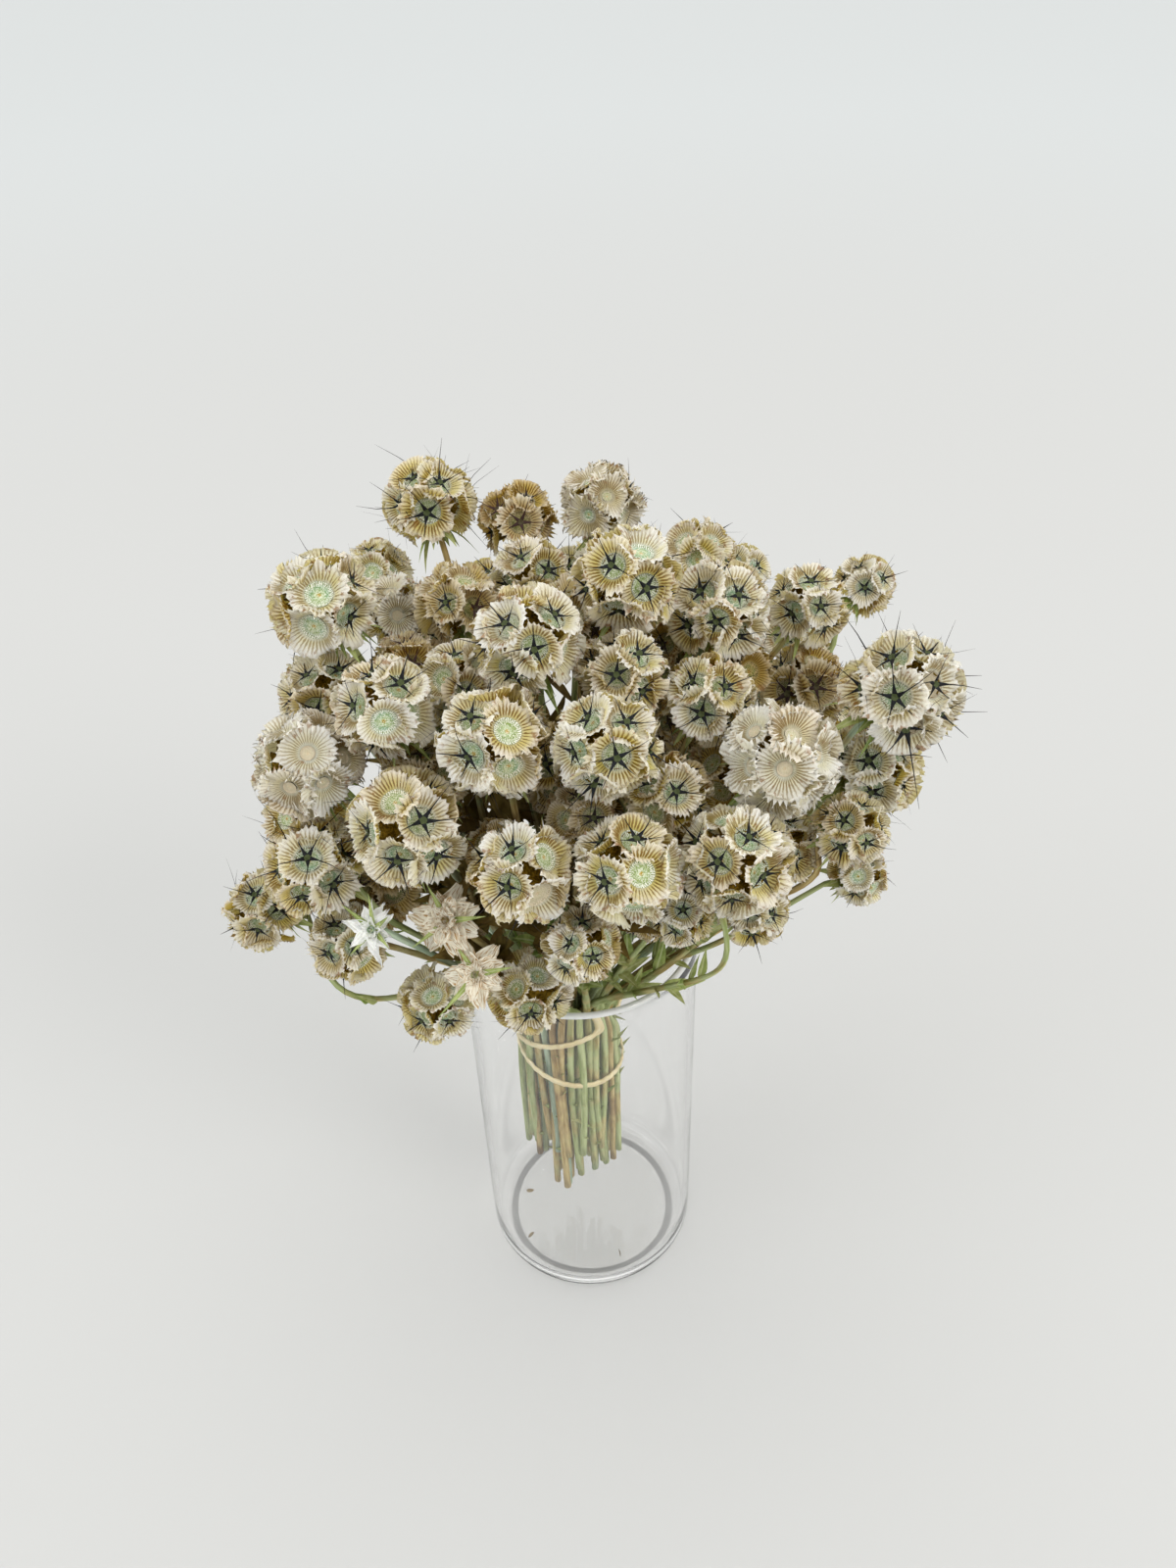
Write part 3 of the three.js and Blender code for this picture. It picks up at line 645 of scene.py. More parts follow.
def bracts_under(end, seed):
    """The star of narrow green bracts under a head, bent back towards the stem."""
    chance = np.random.default_rng(seed)
    axis, meets, count = end["axis"], end["meets"], BRACTS["count"]
    blocks = []
    for k in range(count):
        out = tilted(axis, math.pi / 2, 2 * math.pi * (k + 0.25) / count + chance.uniform(-0.2, 0.2))
        long = end["reach"] * chance.uniform(*BRACTS["short" if k % 2 else "long"])
        droop = -axis * chance.uniform(0.65, 1.2)
        tip = meets + out * long * 0.85 + droop * long
        clear = norm(tip - centres, axis=1) > radii + BRACTS["clearance"]
        if end["row"] >= 0:
            clear[end["row"]] = True
        if not clear.all():
            long *= 0.6
        line = bent_line(meets - axis * 0.5, out * 0.85 + axis * 0.15, droop, long)
        widths = BRACTS["half_width"] * chance.uniform(0.75, 1.2) * BRACT_SHAPE
        across = np.cross(axis, out) + chance.normal(0, 0.12, (7, 3))
        blocks.append(blade(line, widths, across, 0.35, (chance.uniform(0.0, 0.4), 0.0, chance.uniform())))
    return blocks


def papery_petal(line, half_widths, across, chance, tone):
    """A broad crumpled membrane with a torn tip."""
    rows, columns = len(line), 7
    along, across, up = square_frame(line, across)
    spread = np.linspace(-1, 1, columns)
    wide = half_widths[:, None] * (1 + chance.normal(0, 0.06, (rows, columns)))
    curl = wide * (spread ** 2 * 0.3 + 0.22 * np.cos(spread * 9 + chance.uniform(0, 6)))
    curl = curl + chance.normal(0, 0.3, (rows, columns)) * (0.3 + np.abs(spread))
    torn = np.zeros((rows, columns))
    torn[-2:] = chance.uniform(-1.6, 0.8, columns) * np.array([[0.4], [1.0]])
    points = line[:, None] + across[:, None] * (wide * spread)[..., None]
    points = points + up[:, None] * curl[..., None] + along[:, None] * torn[..., None]
    return sheet(points, PETAL_FINISH, tone)


def papery_star(end, seed):
    """What is left when the seeds have dropped: a crumpled star of papery membranes."""
    chance = np.random.default_rng(seed)
    axis, meets, reach, green = end["axis"], end["meets"], end["reach"], end["green"]
    blocks = []
    for layer, (share, lift) in enumerate(PETAL_LAYERS):
        count = end["petals"] - layer
        for k in range(count):
            around = 2 * math.pi * (k + 0.4 * layer) / count
            out = tilted(axis, math.pi / 2, around + chance.uniform(-0.25, 0.25))
            long = reach * share * chance.uniform(0.8, 1.15) * (1 + 0.3 * green)
            rise = axis * (lift + chance.uniform(-0.15, 0.25))
            line = bent_line(meets - axis * 0.3, out + rise, -axis * chance.uniform(0.0, 0.35), long)
            widths = reach * 0.3 * share ** 0.5 * PETAL_SHAPES[green]
            across = np.cross(axis, out) + chance.normal(0, 0.08, (7, 3))
            blocks.append(papery_petal(line, widths, across, chance, (green, 0.0, chance.uniform())))
    for k in range(5 if green else 3):
        out = tilted(axis, math.pi / 2, 1.9 * k + chance.uniform(-0.4, 0.4))
        line = bent_line(meets, out + axis * 0.3, axis * 0.15, reach * chance.uniform(1.1, 1.6))
        blocks.append(blade(line, 1.1 * SEPAL_SHAPE, np.cross(axis, out), 0.4, (0.15, 0, 0.5)))
    return blocks


def leaf_on(line, share, length, turn, tone, room, half_width):
    """A leaf turns round its stem until it clears the heads and the glass."""
    place = share * (len(line) - 1)
    i = int(place)
    root = line[i] + (line[i + 1] - line[i]) * (place - i)
    along = unit(line[i + 1] - line[i])
    bore = (VASE["radius"] - VASE["wall"]) / MM - room
    for k in range(9):
        way = tilted(along, LEAF_LEAN, turn + 0.7 * k)
        spots = root + way * length * np.array([[0.4], [0.7], [1.0]])
        off_heads = (norm(spots[:, None] - centres, axis=-1) > radii + room).all()
        inside = norm(spots[:, :2], axis=1) < bore
        if off_heads and (inside | (rim_away(spots)[:, 2] > room + 1)).all():
            curl = unit(along + np.sin(3 * turn + np.arange(3)) * 0.8) * (0.12 + 0.3 * draw(turn))
            line = bent_line(root, way, curl, length, 9)
            return [blade(line, half_width * LEAF_SHAPE, np.cross(along, way), 0.3, tone)]
    return []


def leaves_along(line, places, kind, chance):
    """Leaves of one kind at places along a stem, given as shares of its length."""
    kind = LEAVES[kind]
    leaves = []
    for place in places:
        tone = (chance.uniform(*kind["browning"]), kind["withered"], chance.uniform())
        long = chance.uniform(*kind["length"])
        half_width = kind.get("half_width", long * LEAF_SLENDER)
        leaves += leaf_on(line, place, long, chance.uniform(0, 6), tone, kind["room"], half_width)
    return leaves


def dry_stalk_finish():
    """Pale green, straw or brown by the stalk, streaked along it."""
    finish = Finish("dry_stalk", roughness=0.75, shine=0.25)
    dryness, bloom, _ = finish.tones()
    lie = finish.add("UVMap", uv_map="lie")
    stretch = finish.add("VectorMath", {0: lie, 1: (1400.0, 60.0, 0.0)}, operation="MULTIPLY")
    streak = finish.noise(1.0, 3, stretch)
    green = finish.turning("#808c52", "#b3bc8a", streak, 0.3, 0.7)
    bluish = finish.turning("#7f927a", "#b4c4ac", streak, 0.3, 0.7)
    straw = finish.turning("#8d743f", "#c3b07c", streak, 0.3, 0.7)
    brown = finish.turning("#5f4a2c", "#9a7c54", streak, 0.3, 0.7)
    green = finish.turning(green, bluish, bloom, 0.7, 0.95)
    dry = finish.math("MULTIPLY_ADD", finish.fade(finish.noise(60), 0.4, 0.65), 0.35, dryness)
    colour = finish.layers(green, (straw, dry, 0.3, 0.75), (brown, dry, 0.8, 1.2))
    return finish.dressed(colour, streak, 0.4, 0.0004)


def dry_leaf_finish():
    """Green or straw leaf blades with a paler midrib; the withered ones are dull olive brown."""
    finish = Finish("dry_leaf", roughness=0.7, shine=0.25)
    browning, withering, _ = finish.tones()
    across, _ = finish.lie()
    rib = finish.fade(finish.math("ABSOLUTE", finish.math("SUBTRACT", across, 0.5)), 0.02, 0.14)
    mottle = finish.noise(260, 3)
    green = finish.blend(rib, "#b9c490", finish.turning("#71893f", "#a9ba6c", mottle, 0.3, 0.7))
    straw = finish.turning("#a99a62", "#d8cfa2", mottle, 0.3, 0.7)
    withered = finish.turning("#4d431c", "#8a7a40", mottle, 0.3, 0.7)
    withered = finish.blend(browning, withered, finish.blend(0.5, withered, "#7d5a2c"))
    colour = finish.blend(withering, finish.blend(browning, green, straw), withered)
    finish.let_through(0.25, "Translucent", colour)
    return finish.dressed(colour, mottle, 0.3, 0.0003)


def papery_star_finish():
    """Crumpled membranes: cream with brown streaks along them, or white with a green middle."""
    finish = Finish("papery_star", roughness=0.7, shine=0.25)
    fresh, _, chance = finish.tones()
    across, out = finish.lie()
    stretch = finish.add("CombineXYZ", {
        0: finish.times(across, 14.0),
        1: finish.times(out, 3.0),
        2: finish.times(chance, 30.0),
    })
    streak = finish.noise(1.0, 3, stretch)
    speck = finish.noise(900, 3)
    cream = finish.layers("#fdf8e8", ("#b08648", streak, 0.44, 0.7), ("#a8813c", out, 0.4, 0.0, 0.0, 0.55))
    white = finish.layers("#ffffff", ("#dde6cf", streak, 0.5, 0.78), ("#dfe39a", out, 0.35, 0.0, 0.0, 0.8))
    colour = finish.turning(finish.blend(fresh, cream, white), "#b49a68", speck, 0.5, 0.8, 0.0, 0.25)
    finish.let_through(0.35, "Translucent", colour)
    return finish.dressed(colour, finish.math("ADD", streak, speck), 0.5, 0.0005)


# Small heads on side stalks: how many, their radii, and where in the bunch they may be. Room beyond
# "roomy" counts no more, and of two roomy places the one nearer the neck wins by "inwards".
SIDE = {"count": 18, "radii": (10, 13), "tries": 400, "depth": (0.5, 0.86), "lowest": 244, "foremost": -48,
        "same_way": 0.9, "off_stems": 0.5, "roomy": 4, "inwards": 0.02}
SIDE_STALK = {"radius": 0.9, "rings": 12, "first_ring": 6, "steep": 0.9}


def side_places(routes):
    """Small side heads go where the bunch is emptiest. Gives each one's centre, radius and axis,
    where its stalk meets it, and the line of that stalk."""
    chance = np.random.default_rng(11)
    spots, outward = routes[:, SIDE_STALK["first_ring"]:], unit(centres - NECK)
    far = norm(centres - NECK, axis=1)
    around, sizes = list(centres), list(radii)
    found = []
    for _ in range(SIDE["count"]):
        size = chance.uniform(*SIDE["radii"])
        tries = []
        for _ in range(SIDE["tries"]):
            way = unit(chance.normal(size=3) * (1, 1, 0.8) + (0, 0, 0.7))
            near = outward @ way > SIDE["same_way"]
            place = NECK + way * far[near].max(initial=0) * chance.uniform(*SIDE["depth"])
            room = (norm(place - around, axis=1) - sizes).min() - size
            off_stems = norm(spots - place, axis=-1).min() > SIDE["off_stems"] * size
            inside = place[2] > SIDE["lowest"] and place[1] > SIDE["foremost"]
            if near.any() and inside and off_stems:
                worth = min(room, SIDE["roomy"]) - SIDE["inwards"] * norm(place - NECK)
                tries.append((worth, tuple(place)))
        place = np.array(max(tries)[1])
        apart = norm(spots - place, axis=-1)
        above = place[2] - spots[..., 2]
        reach = np.where(above > 1.5 * size, apart - SIDE_STALK["steep"] * above, 999)
        stem, joint = np.unravel_index(np.argmin(reach), reach.shape)
        root = spots[stem, joint]
        ahead = unit(spots[stem, min(joint + 1, spots.shape[1] - 1)] - root + 1e-6)
        axis = unit(place - NECK)
        meets = place - axis * (UNDERSIDE * size)
        line = smooth_line([root, root + ahead * 5, meets - axis * 6, meets + axis * 2], SIDE_STALK["rings"])
        found.append((place, size, axis, meets, line))
        around.append(place)
        sizes.append(size)
    return found


ends = carried_ends()
routes = stem_routes(ends)
side_heads = side_places(routes)
greenery = []
for k, (_, size, axis, meets, line) in enumerate(side_heads):
    dryness = np.random.default_rng(900 + k).uniform()
    greenery.append(stalk(line, np.full(len(line), SIDE_STALK["radius"]), (dryness, 0, 0), 950 + k))
    end = {"row": -1, "axis": axis, "meets": meets, "reach": size * BRACTS["reach"]}
    greenery += bracts_under(end, 980 + k)
for k, (end, route) in enumerate(zip(ends, routes)):
    chance = np.random.default_rng(100 + k)
    leafy = end["row"] in LEAFY
    loose = leafy or end["row"] in DETOURS
    foot = np.array([end["x"], end["y"], BUNDLE["lowest"] + BUNDLE["uneven"] * draw(k)])
    rising = np.linspace(0, 1, STALK["below"], endpoint=False)[:, None]
    below = foot + (route[0] - foot) * rising
    bow = chance.uniform(-SWAY["bow"], SWAY["bow"], 2)
    lean = chance.uniform(-SWAY["lean"], SWAY["lean"], 2)
    below[:, :2] += np.sin(math.pi * rising) * bow + (1 - rising) ** 1.5 * lean
    line = np.concatenate([below, smooth_line(route[::3], STALK["rings"]), [end["meets"] + end["axis"] * 2]])
    upper = line[STALK["below"]:-1]
    for _ in range(9 if loose else 0):
        upper[1:-1] = (upper[:-2] + upper[1:-1] + upper[2:]) / 3
    share = np.clip((line[:, 2] - STALK["thins_at"]) / STALK["thins_over"], 0, 1)
    thick = BUNDLE["radius"] + (BUNDLE["tip"] - BUNDLE["slimmer"] * loose - BUNDLE["radius"]) * share
    tone = (0.9 * chance.uniform(0, 1.0) ** 1.8, chance.uniform(), chance.uniform())
    greenery.append(stalk(line, thick, (0.3, 0.3, 0.5) if loose else tone, 300 + k))
    greenery += papery_star(end, 500 + k) if "petals" in end else bracts_under(end, 500 + k)

    # Fresh-looking leaves round the neck, withered ones deep in the bunch, scraps in the glass.
    height, off_neck = route[:, 2], norm(route - NECK, axis=1)
    zone = NECK_LEAVES["leafy" if leafy else "plain"]
    low = np.flatnonzero((height > zone["lowest"]) & (height < zone["highest"]))
    greenery += leaves_along(route, chance.choice(low, zone["count"]) / len(route), "fresh", chance)
    deep = (norm(route[:, :2], axis=1) < DEEP_LEAVES["within"]) & (height > DEEP_LEAVES["lowest"])
    high = np.flatnonzero(deep & (off_neck < DEEP_LEAVES["below_head"] * off_neck[-1]))
    if len(high) and not leafy:
        places = chance.choice(high, DEEP_LEAVES["count"]) / len(route)
        greenery += leaves_along(route, places, "withered", chance)
    places = chance.uniform(SCRAPS["from"], SCRAPS["to"], SCRAPS["count"])
    greenery += leaves_along(below, places, "scrap", chance)
for k, (x, y) in enumerate(CRUMBS):
    root = np.array([x, y, VASE["floor"] / MM + 0.6])
    line = bent_line(root, (math.cos(4 * k), math.sin(4 * k), 0), (0, 0, 0.1), 4, 5)
    greenery.append(blade(line, 0.9 * CRUMB_SHAPE, (0, 0.7, 0.7), 0.4, (0.7, 1, 0)))
stems = build_piece("stem_bundle", greenery, [dry_stalk_finish(), dry_leaf_finish(), papery_star_finish()])
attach(stems, "root")
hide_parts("stems")

# Rubber band. One flat loop of tan natural rubber, stretched twice round the bundle: it runs once
# round high and once low, and crosses itself on the left.
BAND = {"thickness": 1.1, "width": 2.4, "middle": 142.5, "rise": 19, "steps": 192, "hug": 0.18}
BAND_SECTION = [  # shares of the thickness, and of half the width
    (0.1, -1.0), (0.5, -1.06), (0.9, -1.0), (1.0, -0.8), (1.0, 0.8),
    (0.9, 1.0), (0.5, 1.06), (0.1, 1.0), (0.0, 0.8), (0.0, -0.8),
]


def wind_band():
    outer_stems, ring = RINGS[-1]
    turns = np.linspace(0, 4 * math.pi, BAND["steps"], endpoint=False)
    inner = ring + BUNDLE["radius"] + 2.4 * GAP + BAND["hug"] * np.cos(turns * outer_stems)
    height = BAND["middle"] + BAND["rise"] * np.cos(turns / 2)
    out = np.stack([np.cos(turns), np.sin(turns), np.zeros_like(turns)], axis=-1)
    middle = np.array([BUNDLE["x"], BUNDLE["y"], 0])
    rows = []
    for across, lift in BAND_SECTION:
        radius = (inner + across * BAND["thickness"])[:, None]
        rise = (height + lift * BAND["width"] / 2)[:, None]
        rows.append(middle + out * radius + np.array([0, 0, 1]) * rise)
    points = np.stack(rows, axis=1)
    count, sides = points.shape[:2]
    i, j = np.meshgrid(np.arange(count), np.arange(sides), indexing="ij")
    after, beside = (i + 1) % count, (j + 1) % sides
    faces = np.stack([i * sides + j, after * sides + j, after * sides + beside, i * sides + beside], axis=-1)
    return Block(points * MM, [faces.reshape(-1, 4)])


def rubber_finish():
    finish = Finish("natural_rubber", roughness=0.55, shine=0.4)
    finish.shader.inputs["Subsurface Weight"].default_value = 0.2
    finish.shader.inputs["Subsurface Radius"].default_value = (0.002, 0.0015, 0.001)
    wear, dust = finish.noise(70), finish.noise(500, 3)
    colour = finish.layers("#cdbb8c", ("#e2d5ae", wear, 0.35, 0.7), ("#efe8d2", dust, 0.5, 0.75, 0.0, 0.4))
    return finish.dressed(colour, dust, 0.2, 0.0002)


band = build_piece("rubber_band_wound_twice", [wind_band()], [rubber_finish()])
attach(band, "root")
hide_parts("rubber_band")

# Seed heads. Each is a ball of a dozen seeds, and each seed stands in a papery cup: a pleated,
# ribbed funnel with a frayed white edge round a mint-green downy bowl. Most bowls hold a dark
# five-armed star whose arms run out into long thin awns.
GOLDEN_ANGLE = math.pi * (3 - math.sqrt(5))
SWELL = 1.06  # the frayed edges reach a little past the head's radius
CUPS = {"small": 10, "large": 12, "large_from": 17.5, "spread": 1.36,
        "rounds": 14, "push": 0.012, "off_stem": 4}
HALF_ANGLE = {"share": 0.69, "least": 0.61, "most": 0.76}  # of a cup, seen from the head's centre
CUP = {"size": (0.92, 1.06), "depth": (0.24, 0.38), "stands": (1.0, 1.05), "sunk": 0.8, "nod": 0.13}
RIBS = 36
# Rings of a cup from the bowl out: share of its radius, share of its depth, share of the pleats.
FUNNEL = [
    (0.42, 0.0, 0.0), (0.50, 0.17, 0.6), (0.62, 0.5, 1.0),
    (0.76, 0.8, 1.0), (0.89, 0.97, 1.0), (1.0, 0.96, 1.0),
]
PLEAT = 0.03  # of the cup's radius
WAVES = ((1, 0.03), (2, 0.07), (3, 0.07), (5, 0.065), (7, 0.06), (11, 0.05))  # round the edge, and how high
FRAY = {"from": 0.76, "tooth": 0.05, "chance": 0.13, "torn": 0.08, "tear": 0.2, "jitter": 0.022}
FOLD = {"half_width": 0.45, "steep": 1.3, "notch": 0.14, "lift": 0.12}  # where a cup's edge is creased
CLOSING = {"from": 0.76, "over": 0.34}  # of the cups whose bowls are narrow
PRESSING = {"from": 0.12, "over": 0.3, "up": 0.045, "down": 0.075}
BRISTLES = {"length": (0.02, 0.1), "rise": (-0.3, 0.6), "half_width": 0.018}
BOWL_SIDES = 24
# Rings of the bowl inwards: share of the cup's radius, share of its depth.
HOLLOW_BOWL = [(0.43, 0.1), (0.36, -0.3), (0.21, -0.5), (0.07, -0.4)]
DOMED_BOWL = [(0.43, 0.1), (0.36, -0.12), (0.21, 0.04), (0.07, -0.1)]
TUBE = [(0.42, 0.0), (0.3, -0.6), (0.15, -1.15)]
# A star's arm outwards: share of the way to the awn's tip, half width as a share of the cup.
ARM = [(0.0, 0.05), (0.09, 0.08), (0.2, 0.056), (0.37, 0.02), (0.65, 0.014), (1.0, 0.004)]
ARM_END = 0.37
STAR = {"height": 0.13, "reach": 1.08, "rise": 0.42, "keel": 0.7, "length": (0.6, 1.2), "lean": 0.2,
        "uneven": 0.12, "lift": 0.1, "curl": (-0.25, 0.3), "bend": 0.13}

# How heads have dried: browning, whiteness, share of cups with a star, fraying, length of awns.
# On the side heads and on heads at the back and deep in the bunch, the brown and ochre kinds are partly
# painted shade.
DRIED = {
    "straw": (0.12, 0.4, 0.9, 1.0, 0.9),
    "bristly": (0.12, 0.3, 0.95, 1.0, 1.3),
    "silvery": (0.06, 0.75, 0.95, 1.1, 1.2),
    "pale": (0.05, 0.6, 0.8, 1.1, 0.9),
    "white": (0.06, 0.95, 0.08, 1.7, 0.8),
    "grey": (0.28, 0.8, 0.3, 2.1, 0.8),
    "brown": (0.7, 0.3, 0.7, 1.3, 0.9),
    "yellow": (0.35, 0.05, 0.6, 1.2, 0.8),
    "ochre": (0.75, 0.0, 0.7, 1.2, 0.8),
}
DRIED_ROWS = {  # the other rows are straw, and the side heads brown or ochre
    "bristly": {0, 27}, "silvery": {13}, "pale": {4, 5, 8, 9, 16, 21, 31, 39}, "white": {23, 34},
    "grey": {2, 6}, "brown": {1, 7, 14, 35, 63, 64, 69}, "yellow": {3, 32},
    "ochre": {15, 25, 46, 47, 65, 66, 67, 68},
}
UNLIKE = {"browning": 0.13, "whiteness": 0.2}  # how far the cups of one head differ
# Cups that have lost their star, by the head's row.
BARE = {
    1: {9}, 2: {1, 4, 6, 9}, 3: {2}, 4: {8}, 5: {8}, 6: {5}, 7: {1}, 8: {9}, 16: {0}, 19: {6}, 21: {4},
    23: {0, 4, 5, 7}, 24: {0}, 28: {9}, 29: {8}, 30: {2, 4, 6}, 31: {0, 5}, 34: {2, 3, 8}, 35: {4}, 36: {5},
    39: {4}, 41: {4}, 43: {4}, 44: {0, 2}, 45: {1, 6},
}
PAPER, DOWN, DARK, HUSK = range(4)

# The side heads come after the others in the same lists.
first_side = len(centres)
centres = np.concatenate([centres, [head[0] for head in side_heads]])
radii = np.concatenate([radii, [head[1] for head in side_heads]])
head_turns = np.concatenate([head_turns, 1.7 * np.arange(len(side_heads))])


def cup_directions(axis, turn, radius):
    """The cups follow a golden spiral and then settle evenly side by side."""
    count = CUPS["large"] if radius >= CUPS["large_from"] else CUPS["small"]
    polars = [math.acos(1 - CUPS["spread"] * (k + 0.5) / count) for k in range(count)]
    ways = np.array([tilted(axis, polar, k * GOLDEN_ANGLE + turn) for k, polar in enumerate(polars)])
    for _ in range(CUPS["rounds"]):
        apart = ways[:, None] - ways[None]
        far = norm(apart, axis=-1, keepdims=True) + np.eye(count)[..., None] * 9
        off_stem = (ways + axis) / norm(ways + axis, axis=-1, keepdims=True) ** 4
        pushed = (apart / far ** 4).sum(axis=1) + CUPS["off_stem"] * off_stem
        ways = unit(ways + CUPS["push"] * pushed)
    return ways


class Cup:
    """One papery cup: where it stands on its head, the way it faces, its size and how it dried."""

    def __init__(self, centre, foot, facing, side, size, depth, tone):
        self.centre, self.foot, self.facing, self.side = centre, foot, facing, side
        self.other = np.cross(facing, side)
        self.size, self.depth, self.tone = size, depth, tone

    def place(self, height, reach, turns):
        """Points at heights over its foot and reaches from its middle line."""
        out = self.side * np.cos(turns)[..., None] + self.other * np.sin(turns)[..., None]
        return self.foot + self.facing * np.asarray(height)[..., None] + out * np.asarray(reach)[..., None]

    def block(self, points, faces, finish, maps=None):
        return Block((self.centre + points.reshape(-1, 3)) * MM, faces, finish, maps, self.tone)


def lie_map(shares, sides, turns_over=1.0):
    """Where the corners of a ring grid lie: rib number across, share of the radius outwards."""
    column, row = cell_corners(len(shares), sides)
    return np.stack([column * turns_over, shares[row]], axis=-1)


def funnel_sheet(cup, frayed, narrow, ribs, chance):
    """Rings of points on the pleated funnel, wavy, folded and torn along its edge."""
    columns = 2 * ribs
    turns = full_turn(columns)
    on_rib = np.where(np.arange(columns) % 2 == 0, 1.0, -1.0)
    share, lift, pleats = [np.array(values)[:, None] for values in zip(*FUNNEL)]
    outer = np.clip((share - FRAY["from"]) / (1 - FRAY["from"]), 0, 1) ** 1.5
    wave = sum(high * chance.normal() * np.cos(m * turns + chance.uniform(0, 6.3)) for m, high in WAVES)
    edge = frayed * (on_rib * FRAY["tooth"] - FRAY["chance"] * chance.uniform(size=columns))
    edge -= frayed * FRAY["tear"] * (chance.uniform(size=columns) < FRAY["torn"])
    off_fold = np.abs((turns - chance.uniform(0, 6.3) + 9.42) % 6.283 - 3.1416)
    fold = np.clip(FOLD["steep"] - off_fold / FOLD["half_width"], 0, 1)
    edge -= FOLD["notch"] * fold * chance.uniform(0, 1)
    jitter = chance.normal(0, FRAY["jitter"], columns)
    closing = 1 - (1 - narrow) * np.clip((CLOSING["from"] - share) / CLOSING["over"], 0, 1)
    reach = cup.size * share * closing * (1 + (edge + 0.5 * wave) * outer)
    rise = on_rib * PLEAT * pleats + (wave + FOLD["lift"] * fold) * share ** 3 + jitter * outer
    return cup.place(cup.depth * lift + cup.size * rise, reach, turns)


def pressed_together(sheets, outward, rank, radius):
    """Where two cups meet, they press together and one comes to lie over the other."""
    own_number = np.arange(len(sheets))[:, None, None, None]
    ways = unit(sheets)
    angles = np.arccos(np.clip(ways @ outward.T, -1, 1))
    own = np.take_along_axis(angles, own_number, axis=-1)
    past = np.clip((own - angles + PRESSING["from"]) / PRESSING["over"], 0, 1)
    past = past * (own_number != np.arange(len(sheets)))
    over = np.sign(rank[:, None] - rank[None, :])[:, None, None, :]
    shift = np.clip((past * over).sum(-1, keepdims=True), -1, 1)
    sheets = sheets + ways * np.where(shift > 0, PRESSING["up"], PRESSING["down"]) * shift * radius
    long = norm(sheets, axis=-1, keepdims=True)
    return sheets * np.minimum(1, SWELL * radius / long)


def bristles(cup, points, frayed, chance):
    """Fine bristles where every other rib runs on past the edge."""
    rim, before = points[-1, ::4], points[-2, ::4]
    count = len(rim)
    run = unit(rim - before)
    sideways = unit(np.cross(run, rim)) * cup.size * BRISTLES["half_width"]
    long = cup.size * chance.uniform(*BRISTLES["length"], (count, 1)) * (0.5 + 0.5 * frayed)
    tip = rim + run * long + unit(rim) * long * chance.uniform(*BRISTLES["rise"], (count, 1))
    corners = np.stack([rim - sideways, rim + sideways, tip], axis=1)
    faces = np.arange(count * 3).reshape(-1, 3)
    return cup.block(corners, [faces], PAPER, [np.tile([[0.0, 1.0]], (count, 3, 1))])


def bowl_and_tube(cup, rings, narrow, sides):
    """The bowl in the middle, and the tube under it that holds the seed."""
    rings = np.array(rings)
    around = np.arange(sides)
    bowl = [cup.place(rise * cup.depth, reach * cup.size * narrow, full_turn(sides)) for reach, rise in rings]
    middle = cup.place(rings[-1, 1] * cup.depth, 0.0, np.zeros(1))
    last = (len(rings) - 1) * sides
    fan = np.column_stack([last + around, last + (around + 1) % sides, np.full(sides, last + sides)])
    fan_map = np.zeros((sides, 3, 2))
    fan_map[:, :2, 1] = rings[-1, 0]
    faces, maps = [grid_faces(len(rings), sides), fan], [lie_map(rings[:, 0], sides), fan_map]
    tube = [cup.place(drop * cup.size, reach * cup.size, full_turn(8)) for reach, drop in TUBE]
    return [cup.block(np.concatenate([*bowl, middle]), faces, DOWN, maps),
            cup.block(np.concatenate(tube), [grid_faces(len(TUBE), 8)], HUSK)]


def star_arms(cup, awns, chance):
    """The star: five keeled arms, each drawn out into a hair-thin awn."""
    share, half_width = [np.array(values) for values in zip(*ARM)]
    arm_map = np.zeros(((len(ARM) - 1) * 2, 4, 2))
    arm_map[..., 1] = np.repeat(share[:-1], 2)[:, None]
    wide = (half_width * cup.size)[:, None]
    spin = chance.uniform(0, 6.3)
    lean = chance.normal(0, STAR["lean"], 2)
    arms = []
    for k in range(5):
        turn = spin + k * 2 * math.pi / 5 + chance.normal(0, STAR["uneven"])
        out = cup.side * math.cos(turn) + cup.other * math.sin(turn)
        across = np.cross(cup.facing, out)
        long = awns * chance.uniform(*STAR["length"])
        awn = ARM_END + (share - ARM_END) * (long - ARM_END) / (1 - ARM_END)
        reach = np.where(share <= ARM_END, share, awn) * STAR["reach"]
        tilt = lean @ (math.cos(turn), math.sin(turn)) + chance.normal(0, STAR["lift"])
        rise = (STAR["rise"] + tilt) * reach
        rise = rise + chance.uniform(*STAR["curl"]) * reach ** 2
        bend = chance.normal(0, STAR["bend"]) * reach ** 2
        line = (cup.foot + cup.facing * (STAR["height"] * cup.size + cup.size * rise)[:, None]
                + out * (cup.size * reach)[:, None] + across * (cup.size * bend)[:, None])
        keel = [line - across * wide, line + cup.facing * wide * STAR["keel"], line + across * wide]
        faces = grid_faces(len(ARM), 3, closed=False)
        arms.append(cup.block(np.stack(keel, axis=1), [faces], DARK, [arm_map]))
    return arms


def head_core(row):
    """The small hard middle that the seeds grow from."""
    shape = bmesh.new()
    bmesh.ops.create_icosphere(shape, subdivisions=2, radius=0.5)
    points = np.array([v.co for v in shape.verts])
    faces = np.array([[v.index for v in f.verts] for f in shape.faces])
    shape.free()
    return Block((centres[row] + points * radii[row]) * MM, [faces], HUSK, None, (0.5, 0, 0.5))


